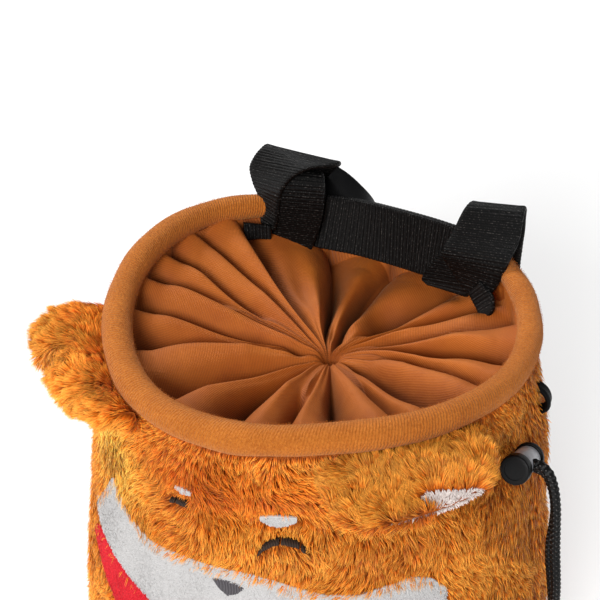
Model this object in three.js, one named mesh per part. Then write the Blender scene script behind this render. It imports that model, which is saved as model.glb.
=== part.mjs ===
// A plush climbing chalk bag with a dog's face, standing on its round base.
// Millimetres, +Z up, origin on the floor in the middle of the base, face towards -Y.
import * as THREE from 'three';
import { mergeVertices } from 'three/addons/utils/BufferGeometryUtils.js';

// Bag body
const bagHeight = 150;          // floor to the middle of the rim roll
const rimRadius = 62;           // centre of the rim roll, before its dips and bulges
const rollRadius = 4.1;         // padded fleece roll
const bellyRadius = 75;         // widest part of the plush body
const baseSeam = 0.93;          // foot of the plush wall, as a share of bellyRadius
const baseThickness = 3;
const wallThickness = 4;        // plush, padding and lining together
const seamAngle = 92;           // side seams, degrees from the middle of the face
const faceTurn = 2.5;           // the face is sewn a little off the middle
const gap = 0.3;                // clearance between sewn pieces
const pileClearance = 0.45;     // clearance between a sewn-on patch and the plush under it

// Closure skirt
const clothThickness = 1.6;     // measured upright through the sloping folds
const gatherDepth = 17;         // below the middle of the rim roll
const gatherX = 3;
const gatherY = -0.5;
const skirtDrop = 8;            // sewn edge below the middle of the rim roll
const foldHeight = 7.5;         // tallest ridge between two creases

// Webbing and trim
const webbingWidth = 20;
const webbingThickness = 1.6;
const patchThickness = 1.2;
const sleeveWidth = 13;
const sleeveThickness = 1.2;

// Ears
const earReach = 22;            // from the plush to the tip
const earThickness = 9;
const earRise = 2.5;            // crown of the ear above a straight line from root to edge
const lockDepth = 1.1;          // how far a lock of pile stands out of the ear's edge

// Cord lock and draw cords
const cordDiameter = 3;
const lockLength = 15;          // over both black end caps
const barrelRadius = 3.9;
const capRadius = 4.5;
const capThickness = 1.6;
const buttonLength = 3.5;       // cup that slides over the barrel's near end
const buttonFloor = 1.2;
const buttonTravel = 1.6;
const lockAngle = -10;          // degrees from +X
const lockDrop = 23.5;          // below the middle of the rim roll
const lockStandOff = 7.13;      // from the plush to the middle of the lock
const lockTilt = -21;           // the far end hangs lower
const knotRadius = 3.9;
const knotLength = 9;

// Rim roll, every 30 degrees from +X: out and lift are shares of rimRadius, girth of rollRadius
const rimRows = [
  { out: 1.010, lift: 0.005, girth: 0.96 },
  { out: 0.990, lift: 0.013, girth: 0.91 },
  { out: 0.972, lift: 0.000, girth: 0.89 },
  { out: 0.925, lift: -0.044, girth: 0.90 },
  { out: 0.985, lift: -0.037, girth: 0.93 },
  { out: 1.006, lift: 0.021, girth: 0.98 },
  { out: 0.980, lift: 0.044, girth: 1.05 },
  { out: 0.990, lift: -0.018, girth: 1.11 },
  { out: 1.010, lift: -0.073, girth: 1.13 },
  { out: 1.006, lift: -0.032, girth: 1.13 },
  { out: 0.997, lift: 0.035, girth: 1.09 },
  { out: 1.008, lift: 0.034, girth: 1.03 },
];

// Body profile: down is a share of bagHeight, out of bellyRadius
const bodyRows = [
  { down: 0.035, out: 0.852 },
  { down: 0.10, out: 0.872 },
  { down: 0.17, out: 0.894 },
  { down: 0.24, out: 0.918 },
  { down: 0.32, out: 0.938 },
  { down: 0.42, out: 0.952 },
  { down: 0.54, out: 0.976 },
  { down: 0.68, out: 0.996 },
  { down: 0.82, out: 1.000 },
  { down: 0.91, out: 0.985 },
  { down: 0.96, out: 0.975 },
  { down: 0.985, out: 0.952 },
  { down: 0.994, out: baseSeam },
];

// Dents and bulges of the plush: at in degrees from the face, down, tall and deep as shares of bagHeight
const dentRows = [
  { at: 10, down: 0.175, wide: 34, tall: 0.030, deep: 0.012 },
  { at: -14, down: 0.235, wide: 8, tall: 0.030, deep: 0.010 },
  { at: 14, down: 0.110, wide: 30, tall: 0.035, deep: -0.008 },
  { at: 52, down: 0.190, wide: 20, tall: 0.030, deep: 0.014 },
  { at: 66, down: 0.270, wide: 14, tall: 0.050, deep: -0.009 },
  { at: 80, down: 0.160, wide: 9, tall: 0.050, deep: 0.014 },
  { at: 91, down: 0.300, wide: 5, tall: 0.200, deep: 0.010 },
  { at: -91, down: 0.300, wide: 5, tall: 0.200, deep: 0.010 },
  { at: 125, down: 0.420, wide: 26, tall: 0.060, deep: 0.010 },
  { at: 180, down: 0.150, wide: 34, tall: 0.060, deep: 0.016 },
  { at: -140, down: 0.500, wide: 30, tall: 0.070, deep: 0.011 },
];

// Closure creases: rim and heart are the crease's angle at the sewn edge and at the gather,
// deep is its depth and crest the ridge after it, as shares of foldHeight
const creaseRows = [
  { rim: 12, heart: 46, deep: 0.55, crest: 0.75 },
  { rim: 34, heart: 62, deep: 0.30, crest: 0.70 },
  { rim: 51, heart: 74, deep: 0.50, crest: 0.75 },
  { rim: 68, heart: 88, deep: 0.45, crest: 0.55 },
  { rim: 92, heart: 104, deep: 1.05, crest: 0.80 },
  { rim: 113, heart: 127, deep: 0.85, crest: 0.60 },
  { rim: 141, heart: 136, deep: 0.95, crest: 1.00 },
  { rim: 158, heart: 152, deep: 0.75, crest: 0.55 },
  { rim: 170, heart: 164, deep: 0.60, crest: 0.55 },
  { rim: 184, heart: 176, deep: 0.55, crest: 0.60 },
  { rim: 197, heart: 190, deep: 0.40, crest: 0.70 },
  { rim: 214, heart: 204, deep: 0.50, crest: 0.80 },
  { rim: 238, heart: 224, deep: 0.55, crest: 0.90 },
  { rim: 263, heart: 246, deep: 0.90, crest: 0.80 },
  { rim: 281, heart: 276, deep: 0.45, crest: 0.75 },
  { rim: 303, heart: 300, deep: 0.70, crest: 0.80 },
  { rim: 321, heart: 322, deep: 0.35, crest: 0.70 },
  { rim: 338, heart: 346, deep: 0.85, crest: 0.85 },
  { rim: 355, heart: 380, deep: 0.50, crest: 0.60 },
];
const foldShares = [0, 0.25, 0.6, 0.88];      // columns of cloth from one crease to the next
const skirtShares = [1, 0.9, 0.78, 0.64, 0.5, 0.36, 0.23, 0.12, 0];

// How far the sewn edge sinks behind the webbing, by angle from +X, as shares of skirtDrop
const edgeRows = [
  { at: 0, sink: 1.0 }, { at: 28, sink: 1.3 }, { at: 46, sink: 2.3 }, { at: 90, sink: 2.3 },
  { at: 128, sink: 2.1 }, { at: 150, sink: 1.2 }, { at: 180, sink: 1.0 }, { at: 360, sink: 1.0 },
];

// Ear outline from its front root to its rear root: at in degrees from the face's middle,
// reach as a share of earReach, drop below the middle of the rim roll as a share of earReach
const earRows = [
  { at: 24, reach: 0.06, drop: 0.62, girth: 0.35 },
  { at: 28, reach: 0.42, drop: 0.82, girth: 0.70 },
  { at: 34, reach: 0.64, drop: 0.82, girth: 0.90 },
  { at: 41, reach: 0.74, drop: 0.72, girth: 1.00 },
  { at: 48, reach: 0.86, drop: 0.56, girth: 1.00 },
  { at: 55, reach: 0.98, drop: 0.40, girth: 1.00 },
  { at: 61, reach: 0.98, drop: 0.30, girth: 0.95 },
  { at: 67, reach: 0.72, drop: 0.26, girth: 0.80 },
  { at: 72, reach: 0.16, drop: 0.30, girth: 0.40 },
];
const earShares = [0, 0.28, 0.55, 0.8, 0.95];  // from root to edge across one ear section
const earRootDrop = 9.5;                        // middle of the ear's root below the middle of the rim roll

// Strap routes: x, y, up from the middle of the rim roll, turn of the strap's width from +X,
// and wide as a share of webbingWidth
const rightLoopRoute = [
  { x: 30.0, y: 40.4, up: -7, turn: -22, wide: 1 },
  { x: 30.6, y: 41.6, up: 0, turn: -21, wide: 1 },
  { x: 31.6, y: 43.0, up: 6.5, turn: -18, wide: 1 },
  { x: 33.3, y: 44.8, up: 11, turn: -4, wide: 1 },
  { x: 35.3, y: 46.8, up: 15.5, turn: 8, wide: 1 },
  { x: 36.8, y: 49.2, up: 18.8, turn: 10, wide: 1 },
  { x: 38.2, y: 52.4, up: 19.6, turn: 8, wide: 1 },
  { x: 39.6, y: 55.8, up: 17, turn: 2, wide: 1 },
  { x: 40.4, y: 57.4, up: 11, turn: -10, wide: 1 },
  { x: 40.0, y: 57.4, up: 4, turn: -20, wide: 1 },
  { x: 39.4, y: 56.0, up: -2, turn: -31, wide: 1 },
  { x: 39.4, y: 55.4, up: -8, turn: -35, wide: 1 },
];
const leftLoopRoute = [
  { x: -32.7, y: 46.8, up: -13.8, turn: 34, wide: 1 },
  { x: -30.6, y: 44.8, up: -9.5, turn: 31, wide: 1.02 },
  { x: -29.2, y: 43.4, up: -4, turn: 26, wide: 1 },
  { x: -30.0, y: 44.2, up: 4, turn: 22, wide: 1 },
  { x: -31.0, y: 45.4, up: 10, turn: 20, wide: 1 },
  { x: -31.8, y: 47.8, up: 15, turn: 16, wide: 1.2 },
  { x: -32.4, y: 51.4, up: 17.6, turn: 12, wide: 1.3 },
  { x: -34.0, y: 56.0, up: 16, turn: 14, wide: 1.2 },
  { x: -36.0, y: 58.8, up: 10, turn: 18, wide: 1 },
  { x: -36.8, y: 58.8, up: 4, turn: 22, wide: 1 },
  { x: -37.2, y: 57.6, up: -2, turn: 31, wide: 1 },
  { x: -37.2, y: 56.8, up: -8, turn: 35, wide: 1 },
];
const leftTailRoute = [
  { x: -36.6, y: 37.6, up: -8.6, turn: 33, wide: 0.42 },
  { x: -41.8, y: 35.8, up: -7.6, turn: 42, wide: 0.28 },
  { x: -47.6, y: 34.4, up: -7.2, turn: 52, wide: 0.26 },
];
const rightTailRoute = [
  { x: 24.6, y: 40.4, up: -1, turn: -24, wide: 0.55 },
  { x: 27.8, y: 37.8, up: -6.5, turn: -30, wide: 0.5 },
  { x: 32.4, y: 36.6, up: -11.5, turn: -38, wide: 0.42 },
  { x: 35.4, y: 36.4, up: -14.2, turn: -46, wide: 0.40 },
];
// The band is a straight strap between the loops: across is its place along X, down the width's lean
const bandRoute = [
  { x: -19.4, y: 51.2, up: -5.6 },
  { x: -9, y: 51.9, up: -5.6 },
  { x: 4, y: 51.9, up: -5.8 },
  { x: 15, y: 50.2, up: -6.0 },
  { x: 19.4, y: 48.6, up: -6.2 },
];
const bandLean = 4;             // degrees that the band's lower edge leans into the bag
const sleeveRoute = [
  { x: -20.6, y: 57.5, up: 5.2 },
  { x: -18.6, y: 58.0, up: 12.6 },
  { x: -14.0, y: 58.5, up: 14.6 },
  { x: -7.5, y: 59.5, up: 10.6 },
  { x: -1.0, y: 60.5, up: 5.6 },
  { x: 4.0, y: 61.5, up: 2.6 },
];

// Face patches: at in degrees from the face's middle, top and bottom as shares of bagHeight below the roll
const maskRows = [
  { at: -50, top: 0.366, bottom: 0.392 },
  { at: -45, top: 0.305, bottom: 0.418 },
  { at: -40, top: 0.246, bottom: 0.424 },
  { at: -36, top: 0.262, bottom: 0.429 },
  { at: -30, top: 0.282, bottom: 0.438 },
  { at: -22, top: 0.298, bottom: 0.452 },
  { at: -12, top: 0.294, bottom: 0.478 },
  { at: 0, top: 0.306, bottom: 0.492 },
  { at: 12, top: 0.318, bottom: 0.478 },
  { at: 24, top: 0.336, bottom: 0.458 },
  { at: 32, top: 0.334, bottom: 0.446 },
  { at: 39, top: 0.322, bottom: 0.440 },
  { at: 45, top: 0.313, bottom: 0.436 },
  { at: 50, top: 0.330, bottom: 0.424 },
  { at: 54, top: 0.366, bottom: 0.400 },
];
const scarfRows = [
  { at: -60, top: 0.434, bottom: 0.468 },
  { at: -48, top: 0.430, bottom: 0.480 },
  { at: -36, top: 0.438, bottom: 0.540 },
  { at: -22, top: 0.462, bottom: 0.590 },
  { at: -10, top: 0.490, bottom: 0.630 },
  { at: 0, top: 0.502, bottom: 0.650 },
  { at: 10, top: 0.490, bottom: 0.630 },
  { at: 22, top: 0.467, bottom: 0.590 },
  { at: 36, top: 0.454, bottom: 0.540 },
  { at: 48, top: 0.442, bottom: 0.485 },
  { at: 60, top: 0.434, bottom: 0.468 },
];
const noseRows = [
  { at: -4.0, top: 0.338, bottom: 0.346 },
  { at: -2.4, top: 0.331, bottom: 0.366 },
  { at: 0, top: 0.331, bottom: 0.382 },
  { at: 2.4, top: 0.334, bottom: 0.370 },
  { at: 4.0, top: 0.344, bottom: 0.352 },
];
const browRows = [
  { at: -4.6, top: 0.160, bottom: 0.166 },
  { at: -2.4, top: 0.157, bottom: 0.173 },
  { at: 0, top: 0.156, bottom: 0.177 },
  { at: 2.4, top: 0.157, bottom: 0.174 },
  { at: 4.6, top: 0.160, bottom: 0.166 },
];
const eyeRows = [
  { at: -5.8, top: 0.236, bottom: 0.248 },
  { at: -4.6, top: 0.219, bottom: 0.234 },
  { at: -2.2, top: 0.208, bottom: 0.221 },
  { at: 0.6, top: 0.206, bottom: 0.218 },
  { at: 3.4, top: 0.211, bottom: 0.223 },
  { at: 5.6, top: 0.224, bottom: 0.237 },
];
const eyeSpread = 14;           // degrees from the face's middle to each eye
const leftRaise = 0.024;        // the left half of the face is pulled up, as a share of bagHeight

const degree = Math.PI / 180;
const patchAllowance = patchThickness + 2 * pileClearance;
const baseRadius = bellyRadius * baseSeam - wallThickness - gap;

// Smooth closed curve through evenly spaced values
function aroundRim(name, angle) {
  const count = rimRows.length;
  const place = (((angle % 360) + 360) % 360) / 360 * count;
  const first = Math.floor(place);
  const share = place - first;
  const value = (step) => rimRows[(first + step + count) % count][name];
  const [a, b, c, d] = [value(-1), value(0), value(1), value(2)];
  return b + 0.5 * share * (c - a + share * (2 * a - 5 * b + 4 * c - d + share * (3 * (b - c) + d - a)));
}

const rimOut = (angle) => rimRadius * aroundRim('out', angle);
const rimUp = (angle) => bagHeight + rimRadius * aroundRim('lift', angle);
const rimGirth = (angle) => rollRadius * aroundRim('girth', angle);

// Straight-line reading of a table between its rows
function readRows(rows, key, value, at) {
  if (at <= rows[0][key]) return rows[0][value];
  for (let i = 1; i < rows.length; i += 1) {
    if (at <= rows[i][key]) {
      const share = (at - rows[i - 1][key]) / (rows[i][key] - rows[i - 1][key]);
      return THREE.MathUtils.lerp(rows[i - 1][value], rows[i][value], share);
    }
  }
  return rows[rows.length - 1][value];
}

function polar(angle, radius, up) {
  return new THREE.Vector3(radius * Math.cos(angle * degree), radius * Math.sin(angle * degree), up);
}

// One closed solid from points and triangles: doubles merged, slivers dropped, faces turned outwards
function solid(points, triangles) {
  const raw = new THREE.BufferGeometry();
  raw.setAttribute('position', new THREE.Float32BufferAttribute(points.flatMap((p) => [p.x, p.y, p.z]), 3));
  raw.setIndex(triangles);
  const merged = mergeVertices(raw, 1e-3);
  const position = merged.getAttribute('position');
  const index = merged.getIndex().array;
  const kept = [];
  let volume = 0;
  const [a, b, c] = [new THREE.Vector3(), new THREE.Vector3(), new THREE.Vector3()];
  for (let i = 0; i < index.length; i += 3) {
    const [p, q, r] = [index[i], index[i + 1], index[i + 2]];
    if (p !== q && q !== r && r !== p) {
      kept.push(p, q, r);
      a.fromBufferAttribute(position, p);
      b.fromBufferAttribute(position, q);
      c.fromBufferAttribute(position, r);
      volume += a.dot(b.cross(c));
    }
  }
  if (volume < 0) {
    for (let i = 0; i < kept.length; i += 3) [kept[i], kept[i + 1]] = [kept[i + 1], kept[i]];
  }
  merged.setIndex(kept);
  merged.computeVertexNormals();
  return merged;
}

// Rings of points joined into one body; an open run is closed by a fan at each end
function loft(rings, closed = false) {
  const around = rings[0].length;
  const points = rings.flat();
  const triangles = [];
  const steps = closed ? rings.length : rings.length - 1;
  for (let i = 0; i < steps; i += 1) {
    const next = (i + 1) % rings.length;
    for (let j = 0; j < around; j += 1) {
      const side = (j + 1) % around;
      const [a, b, c, d] = [i * around + j, i * around + side, next * around + side, next * around + j];
      triangles.push(a, b, c, a, c, d);
    }
  }
  if (!closed) {
    for (const [ring, turn] of [[0, 1], [rings.length - 1, 0]]) {
      const middle = points.length;
      points.push(rings[ring].reduce((sum, p) => sum.add(p), new THREE.Vector3()).divideScalar(around));
      for (let j = 0; j < around; j += 1) {
        const [a, b] = [ring * around + j, ring * around + (j + 1) % around];
        triangles.push(middle, turn ? b : a, turn ? a : b);
      }
    }
  }
  return solid(points, triangles);
}

// A cloth wall between an outer and an inner grid of points; wrapped grids close on themselves
function wall(outer, inner, wrapped = false) {
  const rings = outer.map((column, i) => [...column, ...[...inner[i]].reverse()]);
  if (wrapped) return loft(rings, true);
  const around = rings[0].length;
  const tall = outer[0].length;
  const points = rings.flat();
  const triangles = [];
  for (let i = 0; i < rings.length - 1; i += 1) {
    for (let j = 0; j < around; j += 1) {
      const side = (j + 1) % around;
      const [a, b] = [i * around + j, i * around + side];
      triangles.push(a, b, b + around, a, b + around, a + around);
    }
  }
  for (const [start, turn] of [[0, true], [(rings.length - 1) * around, false]]) {
    for (let j = 0; j < tall - 1; j += 1) {
      const [a, b, c, d] = [start + j, start + j + 1, start + around - 2 - j, start + around - 1 - j];
      triangles.push(...(turn ? [a, c, b, a, d, c] : [a, b, c, a, c, d]));
    }
  }
  return solid(points, triangles);
}

function piece(name, geometry, color, roughness, metalness = 0) {
  const mesh = new THREE.Mesh(geometry, new THREE.MeshStandardMaterial({ color, roughness, metalness }));
  mesh.name = name;
  return mesh;
}

// Outside of the plush at an angle from the middle of the face and a share of bagHeight below the roll
function plush(at, down, offset = 0) {
  const angle = at - 90;
  const profile = bellyRadius * readRows(bodyRows, 'down', 'out', down);
  const neck = rimOut(angle) + 0.45 * rollRadius;
  const settled = THREE.MathUtils.smoothstep(down, 0, 0.2);
  let radius = THREE.MathUtils.lerp(Math.min(neck, profile), profile, settled);
  for (const dent of dentRows) {
    const turn = ((at - dent.at + 540) % 360) - 180;
    const near = Math.exp(-((turn / dent.wide) ** 2) - (((down - dent.down) / dent.tall) ** 2));
    radius -= dent.deep * bagHeight * near;
  }
  const lift = (rimUp(angle) - bagHeight) * (1 - THREE.MathUtils.smoothstep(down, 0.1, 0.6));
  return polar(angle, radius + offset, bagHeight * (1 - down) + lift);
}

const topDown = (at) => (rimGirth(at - 90) + gap) / bagHeight;

function plushPanel(name, from, to, columns, color) {
  const edge = gap / 2 / bellyRadius / degree;
  const outer = [];
  const inner = [];
  for (let i = 0; i <= columns; i += 1) {
    const at = THREE.MathUtils.lerp(from + edge, to - edge, i / columns);
    const downs = [topDown(at), 0.06, ...bodyRows.slice(1).map((row) => row.down)];
    outer.push(downs.map((down) => plush(at, down)));
    inner.push(downs.map((down) => plush(at, down, -wallThickness)));
  }
  return piece(name, wall(outer, inner), color, 0.95);
}

function basePanel() {
  const profile = [[0, 0], [baseRadius - 1, 0], [baseRadius - gap, 0.8], [baseRadius - gap, 2.2]];
  profile.push([baseRadius - 1.2, baseThickness], [0, baseThickness]);
  const disc = new THREE.LatheGeometry(profile.map(([r, z]) => new THREE.Vector2(r, z)), 48);
  disc.rotateX(Math.PI / 2);
  const index = [...disc.getIndex().array];
  const position = disc.getAttribute('position');
  const points = Array.from({ length: position.count }, (_, i) => new THREE.Vector3().fromBufferAttribute(position, i));
  return piece('base_panel', solid(points, index), '#b36a28', 0.95);
}

function rimRoll() {
  const steps = 60;
  const sides = 8;
  const rings = Array.from({ length: steps }, (_, i) => {
    const angle = i * 360 / steps;
    const girth = rimGirth(angle);
    return Array.from({ length: sides }, (_, j) => {
      const turn = (j + 0.5) * 2 * Math.PI / sides;
      return polar(angle, rimOut(angle) + girth * Math.cos(turn), rimUp(angle) + girth * Math.sin(turn));
    });
  });
  return piece('rim_roll', loft(rings, true), '#c07a35', 0.95);
}

// Upper side of the closure's sewn edge, against the inside of the plush wall
function skirtEdge(angle) {
  const sink = readRows(edgeRows, 'at', 'sink', ((angle % 360) + 360) % 360);
  return plush(angle + 90, skirtDrop * sink / bagHeight, -wallThickness - gap);
}

// Height of the gathered cloth between crease i and the next, at share s of the way out
function skirtPoint(i, fold, s) {
  const row = creaseRows[i];
  const next = creaseRows[(i + 1) % creaseRows.length];
  const lap = i + 1 === creaseRows.length ? 360 : 0;
  const swirl = (1 - s) ** 1.6;
  const start = THREE.MathUtils.lerp(row.rim, row.heart, swirl);
  const end = THREE.MathUtils.lerp(next.rim + lap, next.heart + lap, swirl);
  const angle = THREE.MathUtils.lerp(start, end, fold);
  const edge = skirtEdge(angle);
  const heart = new THREE.Vector3(gatherX, gatherY, bagHeight - gatherDepth);
  const point = heart.clone().lerp(edge, s);
  const sag = 0.22 * gatherDepth * Math.sin(Math.PI * s) ** 2;
  const width = (end - start) * degree * s * rimRadius;
  const tuck = Math.sin(Math.PI * Math.min(1, s * 1.05) ** 0.75) ** 0.7;
  const crest = Math.min(foldHeight * row.crest, 0.5 * width) * Math.sin(Math.PI * fold ** 0.75);
  const deep = THREE.MathUtils.lerp(row.deep, next.deep, fold) * Math.abs(2 * fold - 1) ** 1.5;
  const share = Math.min(1, 0.09 * width + 0.25);
  point.z += tuck * (crest - 0.75 * foldHeight * deep * share) - sag;
  return point;
}

function closureSkirt() {
  const outer = [];
  const inner = [];
  for (let i = 0; i < creaseRows.length; i += 1) {
    for (const fold of foldShares) {
      const column = skirtShares.map((s) => skirtPoint(i, fold, s));
      outer.push(column);
      inner.push(column.map((p) => p.clone().setZ(p.z - clothThickness)));
    }
  }
  return piece('closure_skirt', wall(outer, inner, true), '#b8662a', 0.85);
}

// Middle line of an ear section from the plush out to the ear's edge
function earMiddle(side, row, q) {
  const at = faceTurn + side * row.at;
  const rootDown = earRootDrop / bagHeight;
  const root = plush(at, rootDown, gap + 0.4);
  const edge = plush(at, rootDown, gap + 0.4 + earReach * row.reach);
  edge.z = bagHeight + (rimUp(at - 90) - bagHeight) * 0.5 - earReach * row.drop;
  const point = root.clone().lerp(edge, q);
  point.z += earRise * row.girth * 4 * q * (1 - q);
  return point;
}

function earHalf(row, q) {
  return 0.5 * earThickness * row.girth * (1 - 0.12 * q) * Math.sqrt(Math.max(0.05, 1 - (q ** 5)));
}

// Ear rows with one more section between each pair, so that the locks of pile can stand out and in
function earSections() {
  const sections = [];
  for (let i = 0; i < earRows.length - 1; i += 1) {
    for (const share of [0, 1 / 2]) {
      const blend = (name) => THREE.MathUtils.lerp(earRows[i][name], earRows[i + 1][name], share);
      sections.push({ at: blend('at'), reach: blend('reach'), drop: blend('drop'), girth: blend('girth') });
    }
  }
  sections.push(earRows[earRows.length - 1]);
  return sections.map((row, i) => ({ ...row, reach: row.reach + (i % 2 ? 1 : -0.2) * lockDepth / earReach }));
}

// Moves a point of the ear out of the plush where it would touch it
function clearOfPlush(point, at) {
  const near = plush(at, (bagHeight - point.z) / bagHeight);
  const down = (bagHeight - point.z + near.z - point.z) / bagHeight;
  const surface = plush(at, down, gap + 0.4);
  const short = Math.hypot(surface.x, surface.y) - Math.hypot(point.x, point.y);
  return short > 0 ? polar(at - 90, Math.hypot(surface.x, surface.y), point.z) : point;
}

function ear(name, side) {
  const rings = earSections().map((row) => {
    const place = (q, way) => {
      const point = earMiddle(side, row, q);
      point.z += way * earHalf(row, q);
      return clearOfPlush(point, faceTurn + side * row.at);
    };
    const tip = earMiddle(side, row, 1);
    return [...earShares.map((q) => place(q, 1)), tip, ...[...earShares].reverse().map((q) => place(q, -1))];
  });
  return piece(name, loft(rings), '#cf7f2e', 0.95);
}

function innerEar(name, side) {
  const from = 4;
  const to = 12;
  const shares = [0.3, 0.5, 0.7, 0.86];
  const sections = earSections().slice(from, to + 1);
  const under = (offset) => sections.map((row, i) => shares.map((q) => {
    const ends = 1 - (2 * i / (to - from) - 1) ** 2;
    const share = 0.58 + (q - 0.58) * (0.45 + 0.55 * ends);
    const point = earMiddle(side, row, share);
    point.z -= earHalf(row, share) + pileClearance + offset;
    return point;
  }));
  return piece(name, wall(under(0), under(patchThickness)), '#d8ccc8', 0.9);
}

// Flat strap along a route, its width turned from +X in plan
function strap(name, route, thickness, width, color) {
  const centres = route.map((row) => new THREE.Vector3(row.x, row.y, bagHeight + row.up));
  const rings = route.map((row, i) => {
    const along = centres[Math.min(i + 1, centres.length - 1)].clone().sub(centres[Math.max(i - 1, 0)]);
    const across = new THREE.Vector3(Math.cos(row.turn * degree), Math.sin(row.turn * degree), 0);
    const normal = along.cross(across).normalize().multiplyScalar(thickness / 2);
    across.multiplyScalar(width * row.wide / 2);
    const corner = (a, b) => centres[i].clone().addScaledVector(across, a).addScaledVector(normal, b);
    return [corner(-1, -1), corner(1, -1), corner(1, 1), corner(-1, 1)];
  });
  return piece(name, loft(rings), color, 0.75);
}

function webbingBand() {
  const lean = Math.sin(bandLean * degree);
  const rise = Math.cos(bandLean * degree);
  const half = webbingWidth / 2;
  const rings = bandRoute.map((row) => {
    const corner = (a, b) => new THREE.Vector3(
      row.x,
      row.y + a * half * lean + b * webbingThickness / 2,
      bagHeight + row.up + a * half * rise,
    );
    return [corner(-1, -1), corner(1, -1), corner(1, 1), corner(-1, 1)];
  });
  return piece('webbing_band', loft(rings), '#1c1c1e', 0.75);
}

function brushSleeve() {
  const rings = sleeveRoute.map((row, i) => {
    const before = sleeveRoute[Math.max(i - 1, 0)];
    const after = sleeveRoute[Math.min(i + 1, sleeveRoute.length - 1)];
    const normal = new THREE.Vector3(before.up - after.up, 0, after.x - before.x).normalize();
    const corner = (a, b) => new THREE.Vector3(row.x, row.y + a * sleeveWidth / 2, bagHeight + row.up)
      .addScaledVector(normal, b * sleeveThickness / 2);
    return [corner(-1, -1), corner(1, -1), corner(1, 1), corner(-1, 1)];
  });
  return piece('brush_sleeve', loft(rings), '#121214', 0.5);
}

// Table rows with more between them, none further apart than the plush can bend under a patch
function fineRows(rows) {
  const widest = 6;
  const fine = [rows[0]];
  for (let i = 1; i < rows.length; i += 1) {
    const parts = Math.ceil((rows[i].at - rows[i - 1].at) / widest);
    for (let k = 1; k <= parts; k += 1) {
      const blend = (name) => THREE.MathUtils.lerp(rows[i - 1][name], rows[i][name], k / parts);
      fine.push({ at: blend('at'), top: blend('top'), bottom: blend('bottom') });
    }
  }
  return fine;
}

// Thin patch that follows the plush: rows run across it, each with its top and its bottom edge
function facePatch(name, rows, { middle = 0, raise = 0, mirror = 1, lines = 2, lift = 0 }, color, roughness) {
  const grid = (offset) => fineRows(rows).map((row) => Array.from({ length: lines + 1 }, (_, k) => {
    const down = THREE.MathUtils.lerp(row.top, row.bottom, k / lines) - raise;
    return plush(faceTurn + middle + mirror * row.at, down, pileClearance + lift + offset);
  }));
  return piece(name, wall(grid(patchThickness), grid(0)), color, roughness);
}

// Small arch of black elastic at the side
function sideLoop() {
  const spread = 4.2;
  const proud = 3.2;
  const steps = 8;
  const at = 104;
  const down = 0.145;
  const rings = [];
  for (let i = 0; i <= steps; i += 1) {
    const turn = Math.PI * i / steps;
    const centre = plush(at, down - spread * Math.cos(turn) / bagHeight, pileClearance + proud * Math.sin(turn));
    const out = polar(at - 90, 1, 0);
    const normal = out.clone().multiplyScalar(Math.sin(turn));
    normal.z = Math.cos(turn);
    const side = new THREE.Vector3(-out.y, out.x, 0);
    const corner = (a, b) => centre.clone().addScaledVector(side, a * 2.2).addScaledVector(normal, b * 0.7);
    rings.push([corner(-1, -1), corner(1, -1), corner(1, 1), corner(-1, 1)]);
  }
  return piece('side_loop', loft(rings), '#141416', 0.6);
}

// A turned piece along its own +Y, moved into the cord lock's place
const lockMiddle = plush(90 + lockAngle, lockDrop / bagHeight, lockStandOff).setZ(bagHeight - lockDrop);

function turned(name, profile, color, roughness) {
  const lathe = new THREE.LatheGeometry(profile.map(([r, y]) => new THREE.Vector2(r, y)), 16);
  const position = lathe.getAttribute('position');
  const points = Array.from({ length: position.count }, (_, i) => new THREE.Vector3().fromBufferAttribute(position, i));
  const mesh = piece(name, solid(points, [...lathe.getIndex().array]), color, roughness);
  mesh.rotation.set(lockTilt * degree, 0, 0);
  mesh.position.copy(lockMiddle);
  return mesh;
}

const halfLock = lockLength / 2;

function lockBarrel() {
  const near = -halfLock + buttonFloor + buttonTravel + gap;
  const far = halfLock - capThickness - gap;
  const profile = [[0, near], [barrelRadius, near], [barrelRadius, far], [0, far], [0, near]];
  return turned('lock_barrel', profile, '#8a8c90', 0.3);
}

function lockButton() {
  const face = -halfLock;
  const bore = barrelRadius + gap / 2;
  const profile = [[0, face], [capRadius - 0.8, face], [capRadius, face + 0.7], [capRadius, face + buttonLength]];
  profile.push([bore, face + buttonLength], [bore, face + buttonFloor], [0, face + buttonFloor], [0, face]);
  return turned('lock_button', profile, '#17171a', 0.35);
}

function lockCap() {
  const inner = halfLock - capThickness;
  const profile = [[0, inner], [capRadius, inner], [capRadius, halfLock - 0.6]];
  profile.push([capRadius - 0.8, halfLock], [0, halfLock], [0, inner]);
  return turned('lock_cap', profile, '#17171a', 0.35);
}

// Draw cords: chosen points from the middle of the lock down to the knot
const frontCordRoute = [
  [4.55, 0.2, 1.2], [6.5, 0, 0.9], [8.7, -0.4, -0.9], [10.6, -1.0, -5.1], [11.9, -1.6, -11.1], [12.7, -2.2, -18.1],
  [13.5, -2.8, -25.9], [14.5, -3.2, -33.9], [15.1, -2.8, -42.1], [14.9, -1.9, -49.9], [14.3, -1.6, -56.1],
];
const backCordRoute = [
  [4.55, 2.0, -1.9], [6.2, 2.2, -2.5], [7.9, 2.5, -4.9], [9.6, 2.6, -9.5], [10.6, 2.6, -15.5], [10.5, 3.0, -22.1],
  [10.1, 3.4, -29.5], [10.6, 3.5, -37.1], [11.9, 3.0, -44.3], [13.1, 2.2, -50.7], [13.5, 1.8, -56.1],
];
const knotMiddle = new THREE.Vector3(13.9, 0.1, -61.5).add(lockMiddle);

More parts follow.
